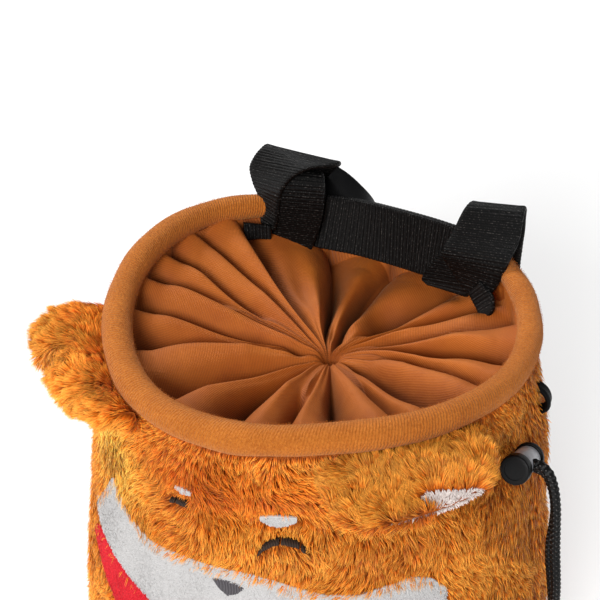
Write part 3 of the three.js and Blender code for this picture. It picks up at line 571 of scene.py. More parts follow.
def lockCentres(points, size, seed):  # the nearest lock to each point, with three odds of its own
    dice = np.random.default_rng(seed).random((4096, 6))
    cell = np.floor(points / size).astype(np.int64)
    best = np.full(len(points), np.inf)
    centre, odds = points.copy(), np.zeros((len(points), 3))
    for step in np.ndindex(3, 3, 3):
        here = cell + np.array(step) - 1
        key = (here @ np.array([73856093, 19349663, 83492791])) % 4096
        spot = (here + dice[key, :3]) * size
        away = ((spot - points) ** 2).sum(1)
        nearer = away < best
        best[nearer], centre[nearer], odds[nearer] = away[nearer], spot[nearer], dice[key[nearer], 3:]
    return centre, odds


def growPile(name, roots, normals, comb, kind, tint, seed, scale=1.0, lowest=0.0):
    style = pile[kind]
    count = len(roots)
    odds = np.random.default_rng(seed)
    centre, lockOdds = lockCentres(roots, style["lock"], seed)
    pull = centre - roots
    pull = (pull - normals * (pull * normals).sum(1, keepdims=True)) * style["pull"]
    aside = unit(np.cross(normals, comb))
    swerve = (lockOdds[:, :1] - 0.5) * style["swerve"] + odds.normal(0, 0.14, (count, 1))
    comb = unit(comb * np.cos(swerve) + aside * np.sin(swerve))
    aside = unit(np.cross(normals, comb))
    rise = style["rise"] * (1 + 0.35 * (lockOdds[:, 1:2] - 0.5) + odds.normal(0, 0.2, (count, 1))) * degree
    long = style["length"] * scale * (0.72 + 0.32 * lockOdds[:, 2:3] + 0.26 * odds.random((count, 1)))
    lower = normals * np.sin(rise * 1.5) + comb * np.cos(rise * 1.5)
    upper = normals * np.sin(rise * 0.55) + comb * np.cos(rise * 0.55)
    middle = roots + lower * long * 0.5 + pull * 0.4
    tip = middle + upper * long * 0.5 + pull * 0.6
    twist = odds.normal(0, 0.45, (count, 1))
    half = (aside * np.cos(twist) + normals * np.sin(twist)) * style["width"] / 2
    points = np.stack([roots - normals * 0.25, middle - half, middle + half, tip], 1)
    points[..., 2] = np.maximum(points[..., 2], lowest)
    base = np.arange(count)[:, None] * 4
    faces = np.concatenate([base + [0, 1, 2], base + [1, 3, 2]])
    uv = np.empty((count, 4, 2))
    uv[..., 0] = odds.random((count, 1))
    uv[..., 1] = [0, 0.5, 0.5, 1]
    shade = tint * (1 + style["mottle"] * (lockOdds[:, 1:2] - 0.5))
    colours = np.repeat(np.concatenate([shade, np.ones((count, 1))], 1)[:, None], 4, 1)
    return meshPiece(name, points.reshape(-1, 3), faces, style["material"], uv.reshape(-1, 2),
                     colours.reshape(-1, 4))


def evenPairs(count, shift=0):  # evenly scattered pairs between 0 and 1
    k = np.arange(count) + 0.5 + shift
    return (k * 0.7548776662) % 1, (k * 0.5698402910) % 1


# The cord lock's sizes stand here because the pile keeps clear of it
lock = {"middle": (70.315, -12.398, 126.5), "tilt": -21, "length": 15, "barrel": 3.9, "cap": 4.5,
        "capThick": 1.6, "button": 3.5, "floor": 1.2, "travel": 1.6, "clear": 11, "slide": 0.15,
        "hole": 1.75, "holesAlong": (-0.4, 1.8), "holeOut": 4.5, "holeDeep": 14,
        "capDish": (2.6, 0.35), "buttonDish": (3.0, 0.3)}

# Which way the plush is combed on the body: turn is from straight down towards +X
combRows = table(
    "at down wide tall turn",
    (34, 0.29, 24, 0.060, -58), (64, 0.33, 12, 0.080, 30), (4, 0.10, 30, 0.050, 34),
    (-30, 0.12, 20, 0.060, -30),
    (-6, 0.26, 8, 0.080, -20), (20, 0.30, 10, 0.060, 14), (-44, 0.20, 10, 0.080, 60), (86, 0.2, 8, 0.3, -16),
    (-84, 0.5, 14, 0.3, 18))

# Warmer, paler or darker places: the colour multiplies the pile's own
tintRows = table(
    "at down wide tall red green blue",
    # the first row, the cheek below the left ear, is a paler patch of its own made paler still as painted light
    # against the ear's shadow
    (-40, 0.178, 15, 0.070, 1.45, 2.6, 4), (-15, 0.245, 7, 0.050, 0.94, 0.82, 0.7),
    (-10, 0.11, 20, 0.060, 0.98, 0.73, 0.52), (14, 0.11, 20, 0.050, 0.98, 0.75, 0.54),
    (4, 0.25, 6, 0.070, 1.12, 1.16, 1.1), (48, 0.24, 14, 0.045, 0.86, 0.78, 0.72),
    (34, 0.29, 14, 0.030, 0.88, 0.8, 0.74),
    # the rows at 72 and -68 are painted light from the left: painted shade on the right side, paler on the left
    # side
    (72, 0.30, 14, 0.20, 0.90, 0.88, 0.92), (-68, 0.30, 12, 0.3, 1.14, 1.18, 1.0),
    (16, 0.285, 8, 0.030, 0.92, 0.84, 0.7))


def bumpsAt(rows, at, down):
    for row in rows:
        turn = (at - row["at"] + 540) % 360 - 180
        yield row, np.exp(-(turn / row["wide"]) ** 2 - ((down - row["down"]) / row["tall"]) ** 2)


def plushFrame(at, down, offset):
    step = 0.002
    roots = plush(at, down, offset)
    across = unit(plush(at + 0.25, down, offset) - roots)
    below = unit(plush(at, down + step, offset) - roots)
    normals = unit(np.cross(below, across))
    return roots, normals, across, below


maskRows = table(
    "at top bottom",
    (-50, 0.366, 0.392), (-45, 0.316, 0.418), (-40, 0.238, 0.424), (-36, 0.256, 0.429), (-30, 0.282, 0.438),
    (-22, 0.298, 0.452), (-12, 0.292, 0.478), (0, 0.288, 0.492), (6, 0.288, 0.487), (12, 0.296, 0.478),
    (24, 0.328, 0.458),
    (32, 0.334, 0.446), (39, 0.322, 0.440), (45, 0.313, 0.436), (50, 0.330, 0.424), (54, 0.366, 0.400))
scarfRows = table(
    "at top bottom",
    (-51, 0.448, 0.470), (-46, 0.428, 0.492), (-36, 0.431, 0.540), (-22, 0.454, 0.590), (-10, 0.484, 0.630),
    (0, 0.494, 0.650), (10, 0.484, 0.630), (22, 0.463, 0.590), (36, 0.444, 0.540), (48, 0.434, 0.485),
    (60, 0.434, 0.468))
noseRows = table(
    "at top bottom",
    (-4.0, 0.338, 0.346), (-2.4, 0.331, 0.366), (0, 0.331, 0.382), (2.4, 0.334, 0.370), (4.0, 0.344, 0.352))
browRows = table(
    "at top bottom",
    (-4.6, 0.160, 0.166), (-2.4, 0.157, 0.173), (0, 0.156, 0.177), (2.4, 0.157, 0.174), (4.6, 0.160, 0.166))
browLeftRows = table(
    "at top bottom",
    (-2.4, 0.160, 0.163), (-1.2, 0.160, 0.168), (0, 0.161, 0.170), (1.2, 0.162, 0.169), (2.4, 0.165, 0.167))
eyeLeftRows = table(  # the rest of this eye lies under the pile
    "at top bottom",
    (-1.8, 0.207, 0.219), (0.6, 0.206, 0.218), (3.4, 0.211, 0.222))
eyeRows = table(
    "at top bottom",
    (-5.8, 0.236, 0.248), (-4.6, 0.219, 0.234), (-2.2, 0.208, 0.221), (0.6, 0.206, 0.218),
    (3.4, 0.211, 0.223),
    (5.6, 0.224, 0.237))
face = {"eyeSpread": 14, "leftRaise": 0.034, "maskSpread": 47, "backing": 0.7, "edge": 0.0015,
        "eyeBelow": 0.005, "shortBelow": 0.014, "short": 0.5, "browBelow": 0.012, "browShort": 0.7}

patches = table(
    "name node rows middle raise mirror kind backing slot blades lift",
    ("faceMask", "face_mask", maskRows, 0, 0, 1, "white", whiteBacking, "short_plush_white", 21000, 0),
    ("scarf", "scarf", scarfRows, 0, 0, 1, "red", redBacking, "short_plush_red", 13000, 0),
    ("browLeft", "brow_left", browLeftRows, -13, 0.024, 1, "white", whiteBacking, "short_plush_white",
     700, 0.2),
    ("browRight", "brow_right", browRows, 12.6, -0.004, 1, "white", whiteBacking, "short_plush_white",
     900, 0.3))


def patchEdges(rows, local):  # top and bottom of a patch, as shares of the height below the rim
    return (np.interp(local, column(rows, "at"), column(rows, "top")),
            np.interp(local, column(rows, "at"), column(rows, "bottom")))


def insidePatch(rows, at, down, middle, raised, mirror, grow=0.0):  # how far in, as a share of the height
    local = (at - bag["faceTurn"] - middle) * mirror
    top, bottom = (edge - raised for edge in patchEdges(rows, local))
    within = (local > rows[0]["at"] - grow * 60) & (local < rows[-1]["at"] + grow * 60)
    return np.where(within, np.minimum(down - top, bottom - down) + grow, -1)


def bodyPile(name, low, high, count, kind, seed):
    a, b = evenPairs(int(count * 1.3), seed * 17)
    at, down = mix(low, high, a), mix(0.03, 0.988, b)
    keep = np.ones(len(at), bool)
    for patch in patches:
        depth = insidePatch(patch["rows"], at, down, patch["middle"], patch["raise"], patch["mirror"])
        keep &= depth < face["edge"]
    scale = np.ones(len(at))
    local = at - bag["faceTurn"]
    aboveScarf = down < patchEdges(maskRows, local)[1]
    belowMask = down > patchEdges(scarfRows, local)[0]
    keep &= (np.abs(local) > face["maskSpread"]) | aboveScarf | belowMask
    for rows, middle, raised, mirror in ((eyeLeftRows, -face["eyeSpread"], face["leftRaise"], -1),
                                         (eyeRows, face["eyeSpread"], 0, 1)):
        keep &= insidePatch(rows, at, down + face["eyeBelow"], middle, raised, mirror, 0.001) < 0
        above = insidePatch(rows, at, down + face["shortBelow"], middle, raised, mirror, 0.012)
        scale = np.where(above > 0, face["short"], scale)
        brow = insidePatch(browRows, at, down + face["browBelow"], middle, 0, 1, 0.006)
        scale = np.where((brow > 0) & (mirror > 0), face["browShort"], scale)
    at, down, scale = at[keep][:count], down[keep][:count], scale[keep][:count]
    roots, normals, across, below = plushFrame(at, down, -1.0)
    away = np.linalg.norm(roots - lock["middle"], axis=1)
    scale = scale * (0.5 + 0.5 * smoothStep(away, 8, 13))
    turn = 26 * ripple(roots, 26, 5) + 12 * ripple(roots, 9, 8)
    tint = np.ones((len(at), 3))
    for row, near in bumpsAt(combRows, at, down):
        turn = turn + row["turn"] * near
    for row, near in bumpsAt(tintRows, at, down):
        tint *= 1 + near[:, None] * (np.array([row["red"], row["green"], row["blue"]]) - 1)
    tint *= 1 + 0.07 * ripple(roots, 34, 11)[:, None] * np.array([0.6, 1, 1.3])
    comb = below * np.cos(turn * degree)[:, None] + across * np.sin(turn * degree)[:, None]
    seam = np.minimum(np.abs(at - bag["seam"]), np.abs((at + bag["seam"] + 180) % 360 - 180))
    scale = scale * (1 - 0.35 * np.exp(-(seam / 1.6) ** 2)) * (0.62 + 0.38 * smoothStep(down, 0.03, 0.07))
    piece = growPile(name, roots, normals, comb, kind, tint, seed, scale[:, None], 0.25)
    return dressed(piece)


def bodyPanel(name, node, low, high, seed):  # the padded wall under the pile
    columns, rows = 90, 40
    edge = bag["gap"] / 2 / bag["belly"] / degree
    at = np.linspace(low + edge, high - edge, columns)[:, None]
    first = (rimGirth(at - 90) + bag["gap"]) / bag["height"]
    share = np.linspace(0, 1, rows)[None]
    down = mix(first, bodyRows[-1]["down"], share)
    at = np.broadcast_to(at, down.shape)
    outer = plush(at, down, -1.0)
    outer = outer + plushFrame(at, down, -1.0)[1] * (0.35 * ripple(outer, 22, seed))[..., None]
    inner = plush(at, down, -bag["wall"])
    points, faces = wallShape(outer, inner)
    piece = dressed(meshPiece(name, points, faces, orangeBacking), [node])
    return piece


bodyPanel("frontPanel", "front_panel", -bag["seam"], bag["seam"], 21)
bodyPanel("backPanel", "back_panel", bag["seam"], 360 - bag["seam"], 22)
print("body panels done")
seam, middle = bag["seam"], 2  # the front's pile is two pieces that meet in the middle
bodyPile("frontPileLeft", -seam + 0.3, middle, 64000, "orange", 31)
bodyPile("frontPileRight", middle, seam - 0.3, 64000, "orange", 32)
bodyPile("backPile", seam + 0.3, 360 - seam - 0.3, 56000, "back", 33)
print("body pile done")


def facePatch(patch, seed):
    rows = patch["rows"]
    columns, lines = 90, 14
    local = np.linspace(rows[0]["at"], rows[-1]["at"], columns)[:, None]
    share = np.linspace(0, 1, lines)[None]
    top, bottom = patchEdges(rows, local)
    down = mix(top, bottom, share) - patch["raise"]
    at = np.broadcast_to(bag["faceTurn"] + patch["middle"] + patch["mirror"] * local, down.shape)
    low = bag["patchLift"]
    high = low + face["backing"] + patch["lift"]
    outer, inner = plush(at, down, high - 0.3), plush(at, down, low - 0.6)
    points, faces = wallShape(outer, inner)
    ground = meshPiece(patch["name"], points, faces, patch["backing"])
    dressed(ground, [patch["node"]])
    a, b = evenPairs(patch["blades"], seed * 13)
    spread = np.linspace(0, 1, 400)
    top, bottom = patchEdges(rows, mix(rows[0]["at"], rows[-1]["at"], spread))
    reach = bottom - top
    running = np.cumsum(reach) / reach.sum()
    local = mix(rows[0]["at"], rows[-1]["at"], np.interp(a, running, spread))
    top, bottom = patchEdges(rows, local)
    down = mix(top, bottom, b) - patch["raise"]
    at = bag["faceTurn"] + patch["middle"] + patch["mirror"] * local
    roots, normals, across, below = plushFrame(at, down, high - 0.4)
    turn = 20 * ripple(roots, 18, seed) * degree
    comb = below * np.cos(turn)[:, None] + across * np.sin(turn)[:, None]
    piece = growPile(patch["name"] + "Pile", roots, normals, comb, patch["kind"], np.ones((len(at), 3)), seed)
    dressed(piece)


for number, patch in enumerate(patches):
    facePatch(patch, 41 + number)
print("face patches done")


# Embroidery: raised satin-stitch pads
stitches = table(
    "name node rows middle raise mirror start end lift material slot",
    ("nose", "nose", noseRows, 1.3, 0.024, 1, 0, 1, 1.2, noseThread, "embroidery_grey"),
    ("eyeLeft", "eye_left", eyeLeftRows, -face["eyeSpread"], face["leftRaise"], -1, 0.0, 0.64, 1.1,
     eyeThread, "embroidery_dark"),
    ("eyeLeftOuter", "eye_left", eyeLeftRows, -face["eyeSpread"], face["leftRaise"], -1, 0.74, 1.0, 1.1,
     eyeThread, "embroidery_dark"),
    ("eyeRightOuter", "eye_right", eyeRows, face["eyeSpread"], 0, 1, 0.0, 0.44, 1.2,
     eyeThread, "embroidery_dark"),
    ("eyeRight", "eye_right", eyeRows, face["eyeSpread"], 0, 1, 0.48, 0.86, 1.2,
     eyeThread, "embroidery_dark"),
    ("eyeRightInner", "eye_right", eyeRows, face["eyeSpread"], 0, 1, 0.90, 1.0, 1.2,
     eyeThread, "embroidery_dark"))


def stitchPad(pad):
    rows = pad["rows"]
    columns, lines = 40, 9
    span = rows[-1]["at"] - rows[0]["at"]
    local = rows[0]["at"] + span * np.linspace(pad["start"], pad["end"], columns)[:, None]
    share = np.linspace(0, 1, lines)[None]
    top, bottom = patchEdges(rows, local)
    down = mix(top, bottom, share) - pad["raise"]
    at = np.broadcast_to(bag["faceTurn"] + pad["middle"] + pad["mirror"] * local, down.shape)
    ends = np.sin(math.pi * np.linspace(0.04, 0.96, columns)[:, None]) ** 0.25
    crown = np.sin(math.pi * share) ** 0.5 * ends
    outer = plush(at, down, 0.2 + pad["lift"] * crown)
    inner = plush(at, down, -0.3)
    points, faces = wallShape(outer, inner)
    ring = 2 * lines
    along = np.broadcast_to(local * degree * bag["belly"] * mm, (columns, ring))
    across = np.broadcast_to(np.linspace(0, 4 * mm, ring)[None], (columns, ring))
    uv = np.stack([along, across], -1).reshape(-1, 2)
    piece = meshPiece(pad["name"], points, faces, pad["material"], uv)
    return dressed(piece, [pad["node"]])


for pad in stitches:
    stitchPad(pad)
print("embroidery done")


# Ears: padded lobes with pile of their own
# tint: the left ear's pile painted paler as lit, the right ear's painted darker and redder as shaded, painted
# light from the left
ear = {"reach": 22, "thick": 9, "rise": 2.5, "rootDrop": 9.5, "inset": 1.3,
       "spread": {-1: (31, 72), 1: (24, 63)}, "tint": {-1: (1.18, 1.2, 1.2), 1: (0.94, 0.9, 0.84)},
       "middle": 44, "half": 22, "edge": 0.05}
earRows = table(
    "at reach drop lift girth",
    (24, 0.06, 0.62, 8, 0.35), (28, 0.42, 0.82, 9, 0.70), (34, 0.64, 0.82, 9, 0.90),
    (41, 0.74, 0.72, 8, 1.00),
    (48, 0.86, 0.56, 6.5, 1.00), (55, 0.98, 0.40, 4.5, 1.00), (61, 0.98, 0.30, 3.5, 0.95),
    (67, 0.72, 0.26, 2.5, 0.80),
    (72, 0.16, 0.30, 1, 0.40))


def earPoint(side, row, q):  # middle line of an ear section from the plush out to its edge
    at = bag["faceTurn"] + side * row["at"]
    down = ear["rootDrop"] / bag["height"]
    root = plush(at, down, bag["gap"] + 0.4)
    edge = plush(at, down, bag["gap"] + 0.4 + (ear["reach"] - ear["inset"]) * row["reach"])
    lift = row["lift"] if side < 0 else 0
    edge[2] = bag["height"] + (rimUp(at - 90) - bag["height"]) * 0.5 - ear["reach"] * row["drop"] + lift
    point = mix(root, edge, q)
    point[2] += ear["rise"] * row["girth"] * 4 * q * (1 - q)
    return point


def clearOfPlush(point, at):  # moves a point of the ear out of the plush where it would touch it
    near = plush(at, (bag["height"] - point[2]) / bag["height"])
    surface = plush(at, (bag["height"] + near[2] - 2 * point[2]) / bag["height"], bag["gap"] + 0.4)
    wanted, present = np.hypot(surface[0], surface[1]), np.hypot(point[0], point[1])
    return polar(at - 90, wanted, point[2]) if wanted > present else point


def earLobe(name, node, side):
    shares = (0, 0.28, 0.55, 0.8, 0.95)
    fine = []
    for i, row in enumerate(earRows[:-1]):
        for share in (0, 0.5):
            fine.append({key: mix(row[key], earRows[i + 1][key], share) for key in row})
    fine.append(dict(earRows[-1]))
    for row in fine:
        row["at"] = np.interp(row["at"], (earRows[0]["at"], earRows[-1]["at"]), ear["spread"][side])
    rings = []
    for row in fine:
        ring = []
        for way, order in ((1, shares), (0, (1,)), (-1, shares[::-1])):
            for q in order:
                point = earPoint(side, row, q)
                half = 0.5 * (ear["thick"] - 2 * ear["inset"]) * row["girth"] * (1 - 0.12 * q)
                point[2] += way * half * math.sqrt(max(0.05, 1 - q ** 5))
                ring.append(clearOfPlush(point, bag["faceTurn"] + side * row["at"]))
        rings.append(ring)
    points, faces = loftShape(np.array(rings))
    piece = meshPiece(name, points, faces, orangeBacking)
    smooth = piece.modifiers.new("smooth", "SUBSURF")
    smooth.levels = smooth.render_levels = 2
    bpy.context.view_layer.objects.active = piece
    bpy.ops.object.modifier_apply(modifier=smooth.name)
    dressed(piece, [node])
    return piece


def surfaceSamples(piece, count, seed):  # evenly scattered roots on a finished mesh, with its normals
    mesh = piece.data
    mesh.calc_loop_triangles()
    corners = np.empty(len(mesh.loop_triangles) * 3, int)
    mesh.loop_triangles.foreach_get("vertices", corners)
    places = np.empty(len(mesh.vertices) * 3)
    mesh.vertices.foreach_get("co", places)
    directions = np.empty(len(mesh.vertices) * 3)
    mesh.vertices.foreach_get("normal", directions)
    corners, directions = corners.reshape(-1, 3), directions.reshape(-1, 3)
    places = places.reshape(-1, 3) / mm
    a, b, c = (places[corners[:, k]] for k in range(3))
    areas = np.linalg.norm(np.cross(b - a, c - a), axis=1)
    odds = np.random.default_rng(seed)
    running = np.cumsum(areas) / areas.sum()
    chosen = odds.permutation(np.searchsorted(running, (np.arange(count) + odds.random(count)) / count))
    u, v = odds.random((2, count, 1))
    u, v = np.where(u + v > 1, 1 - u, u), np.where(u + v > 1, 1 - v, v)
    roots = a[chosen] * (1 - u - v) + b[chosen] * u + c[chosen] * v
    normals = [directions[corners[chosen, k]] for k in range(3)]
    return roots, unit(normals[0] * (1 - u - v) + normals[1] * u + normals[2] * v)


# The pale inside of an ear: the middle of its underside, and where the right ear's edge turns up
patchArea = {"at": 51.4, "wide": 8.4, "up": -8.2, "tall": 2.7, "under": 47, "underWide": 11}


def earPile(name, node, lobe, side, count, seed):
    roots, normals = surfaceSamples(lobe, count * 3, seed)
    at = (np.arctan2(roots[:, 1], roots[:, 0]) / degree + 90 - bag["faceTurn"]) * side
    outward = unit(roots * [1, 1, 0])
    along = np.stack([-outward[:, 1], outward[:, 0], 0 * at], -1) * side
    around = unit(np.cross(normals, along)) * side
    facing = (normals * outward).sum(1)
    inPatch = ((at - patchArea["at"]) / patchArea["wide"]) ** 2 + (
        (roots[:, 2] - bag["height"] - patchArea["up"]) / patchArea["tall"]) ** 2 < 1
    under = (normals[:, 2] < -0.5) & (np.abs(at - patchArea["under"]) < patchArea["underWide"])
    inPatch = (inPatch & (facing > 0.1) & (side > 0)) | under
    nearLock = np.linalg.norm(roots - lock["middle"], axis=1) < lock["clear"]
    if side > 0:  # the pile parts at the sewn edge and leans to the ends of the ear
        lean = (at[:, None] - ear["middle"]) / ear["half"]
        comb = around * np.tanh(5 * (normals[:, 2:] - ear["edge"])) + along * lean
    else:
        comb = outward + along * 0.3 - np.array([0, 0, 0.7])
    comb = unit(comb - normals * (comb * normals).sum(1, keepdims=True))
    sway = 0.5 * ripple(roots, 11, seed)[:, None]
    comb = unit(comb * np.cos(sway) + np.cross(normals, comb) * np.sin(sway))
    tint = np.ones((len(roots), 3)) * (1 + 0.08 * ripple(roots, 20, seed + 1)[:, None])
    # painted light: the left ear paler, the right ear in painted shade
    tint *= ear["tint"][side]
    tint *= 1 + smoothStep(-normals[:, 2:], 0.2, 0.8) * np.array([0.04, 0.10, 0.2])
    seam = np.exp(-(normals[:, 2:] - ear["edge"]) ** 2 / 0.004) * (side > 0)
    tint *= 1 - seam * np.array([0.10, 0.2, 0.3])
    away = np.linalg.norm(roots - lock["middle"], axis=1)
    scale = (0.55 + 0.45 * smoothStep(away, lock["clear"], lock["clear"] + 7)) * (1 - 0.3 * seam[:, 0])
    keep = np.flatnonzero(~nearLock & ~inPatch)[:count]
    pale = np.flatnonzero(inPatch & ~nearLock)[:count // 3]
    dressed(growPile(name.replace("ear", "innerEar"), roots[pale], normals[pale], comb[pale], "pale",
                     np.ones((len(pale), 3)), 59), [node.replace("ear_", "inner_ear_")])
    return dressed(growPile(name, roots[keep], normals[keep], comb[keep], "ear", tint[keep], seed,
                            scale[keep, None]))


for name, node, side, seed in (("earLeft", "ear_left", -1, 51), ("earRight", "ear_right", 1, 52)):
    lobe = earLobe(name, node, side)
    earPile(name + "Pile", node, lobe, side, 36000, seed)
print("ears done")


# Rim roll: brushed jersey over a padded roll, with a short nap
rim = {"steps": 360, "sides": 22, "wander": 0.09, "puckers": 150, "pucker": 0.10, "seamTurn": 225}


def rimRoll():
    angle = np.linspace(0, 360, rim["steps"], endpoint=False)[:, None]
    turn = np.linspace(0, 2 * math.pi, rim["sides"], endpoint=False)[None]
    place = polar(angle[:, 0], rimOut(angle[:, 0]), rimUp(angle[:, 0]))
    wander = rim["wander"] * ripple(place, 14, 61)[:, None] * (1 + 0.5 * np.cos(turn + 0.6))
    nearSeam = np.exp(-((turn - rim["seamTurn"] * degree) / 0.5) ** 2)
    pucker = rim["pucker"] * np.sin(angle * degree * rim["puckers"]) * nearSeam
    girth = rimGirth(angle) + wander - pucker
    points = polar(angle, rimOut(angle) + girth * np.cos(turn), rimUp(angle) + girth * np.sin(turn))
    length = angle * degree * bag["rim"] * mm + 0 * turn
    around = turn * bag["roll"] * mm + 0 * angle
    faces = outwards(points, gridFaces(rim["steps"], rim["sides"], True, True))
    uv = np.stack([length, around], -1).reshape(-1, 2)[faces]
    lap = uv.max(1, keepdims=True) - uv
    whole = np.array([2 * math.pi * bag["rim"], 2 * math.pi * bag["roll"]]) * mm
    uv = uv + np.where(lap > whole / 2, whole, 0)
    piece = meshPiece("rimRoll", points, faces, fleece, uv)
    dressed(piece, ["rim_roll"])
    return piece


def rimNap(count):
    a, b = evenPairs(count)
    angle, turn = 360 * a, 2 * math.pi * b
    spoke = polar(angle, 1, 0)
    normals = spoke * np.cos(turn)[:, None] + np.stack([0 * turn, 0 * turn, np.sin(turn)], -1)
    roots = polar(angle, rimOut(angle), rimUp(angle)) + normals * (rimGirth(angle) - 0.1)[:, None]
    comb = np.stack([-spoke[:, 1], spoke[:, 0], 0 * turn], -1)
    return dressed(growPile("rimNap", roots, normals, comb, "nap", np.ones((count, 3)), 63))


rimRoll()
rimNap(18000)
print("rim done")


# Closure: gathered twill, drawn shut at one point
closure = {"thick": 1.2, "depth": 17, "heart": (3, -0.5), "drop": 8, "fold": 8.5, "valley": 9, "overhang": 0.22,
           "dimple": 3, "flat": (0.392, 0.080), "foldSteps": 16, "outSteps": 66, "pinch": 0.9, "tail": 5,
           "fullFold": 5, "sag": 0.22, "tuckFloor": 0.42, "fade": 0.14, "gatherTurn": 1.6, "fine": 0.5,
           "bend": 0.55, "swell": 0.9, "lipRise": 1.2, "underRim": 0.72}
# Painted light on the cloth: a painted highlight on each fold's crest, painted shade along the creases and in the
# hollows
clothShade = {"crest": 0.3, "crease": 0.62, "creaseWide": 0.16, "pocket": 0.08, "darkest": 0.22, "brightest": 1.3}
# The crease's angle at the sewn edge and at the gather, its bow, where it starts, and the fold after it
creaseRows = table(
    "rim heart bow inner deep crest lean",
    (12, 46, 3, -1, 0.75, 0.75, 0.5), (34, 62, -2, 0.32, 0.45, 0.70, -0.4), (51, 74, 3, -1, 0.65, 0.75, 0.5),
    (68, 88, -3, 0.36, 0.60, 0.60, -0.3), (92, 104, 4, -1, 1.05, 0.85, 0.5),
    (113, 127, -4, -1, 0.95, 0.65, 0.6),
    (141, 136, 2, -1, 1.00, 1.00, 0.5), (158, 152, -3, -1, 0.70, 0.60, 0.8),
    (170, 164, 2, 0.44, 0.75, 0.60, 0.9),
    (184, 176, -2, 0.62, 0.65, 0.70, 0.8), (197, 190, 3, -1, 0.60, 0.75, 0.5),
    (214, 204, -3, 0.40, 0.60, 0.85, 0.7),
    (238, 224, 4, -1, 0.90, 0.95, 0.8), (263, 246, -4, -1, 1.00, 0.85, -0.7),
    (281, 276, 2, 0.46, 0.60, 0.80, 0.6),
    (303, 300, -3, -1, 0.90, 0.85, -0.7), (321, 322, 3, 0.38, 0.55, 0.75, 0.6),
    (338, 346, -3, -1, 1.00, 0.90, -0.8),
    (355, 380, 3, 0.34, 0.60, 0.65, 0.6))
edgeRows = table(
    "at sink",  # how far the sewn edge sinks behind the webbing
    (0, 0.7), (28, 0.9), (42, 1.6), (52, 2.2), (110, 2.2), (122, 1.4), (134, 0.75), (148, 0.55), (240, 0.6),
    (360, 0.7))
pocketRows = table(
    "at out wide long deep",  # hollows in the cloth: at in degrees from +X, out a share of the way to the edge
    (78, 0.52, 9, 0.13, 6.0), (171, 0.97, 2.5, 0.09, 3.5), (184, 0.97, 2.5, 0.10, 4.0),
    (197, 0.97, 3.0, 0.12, 4.0),
    (213, 0.96, 4.0, 0.14, 5.5), (236, 0.96, 5.0, 0.16, 5.5), (262, 0.96, 4.5, 0.16, 4.5),
    (302, 0.96, 4.0, 0.13, 4.0),
    (338, 0.95, 5, 0.13, 4.0), (14, 0.94, 5, 0.12, 3.0), (20, 0.55, 7, 0.12, 2.0), (128, 0.60, 5, 0.20, 3.0),
    (200, 0.15, 16, 0.05, 3.0), (350, 0.22, 14, 0.07, 3.0), (100, 0.22, 12, 0.08, 3.0))


def skirtEdge(angle):
    sink = np.interp(np.asarray(angle) % 360, column(edgeRows, "at"), column(edgeRows, "sink"))
    down = closure["drop"] * sink / bag["height"]
    return plush(np.asarray(angle) + 90, down, -bag["wall"] - bag["gap"] - 0.1)


def creaseAngle(row, share, lap=0):
    straight = mix(row["rim"] + lap, row["heart"] + lap, (1 - share) ** closure["gatherTurn"])
    return straight + row["bow"] * np.sin(math.pi * share)


def creaseReach(row, share):
    return smoothStep(share, row["inner"] - closure["fade"], row["inner"] + closure["fade"])


def foldHeight(i, share):
    row, after = creaseRows[i], creaseRows[(i + 1) % len(creaseRows)]
    turn = creaseAngle(after, share, 360 if after is creaseRows[0] else 0) - creaseAngle(row, share)
    return np.minimum(closure["fold"] * row["crest"], 0.55 * turn * degree * share * bag["rim"])


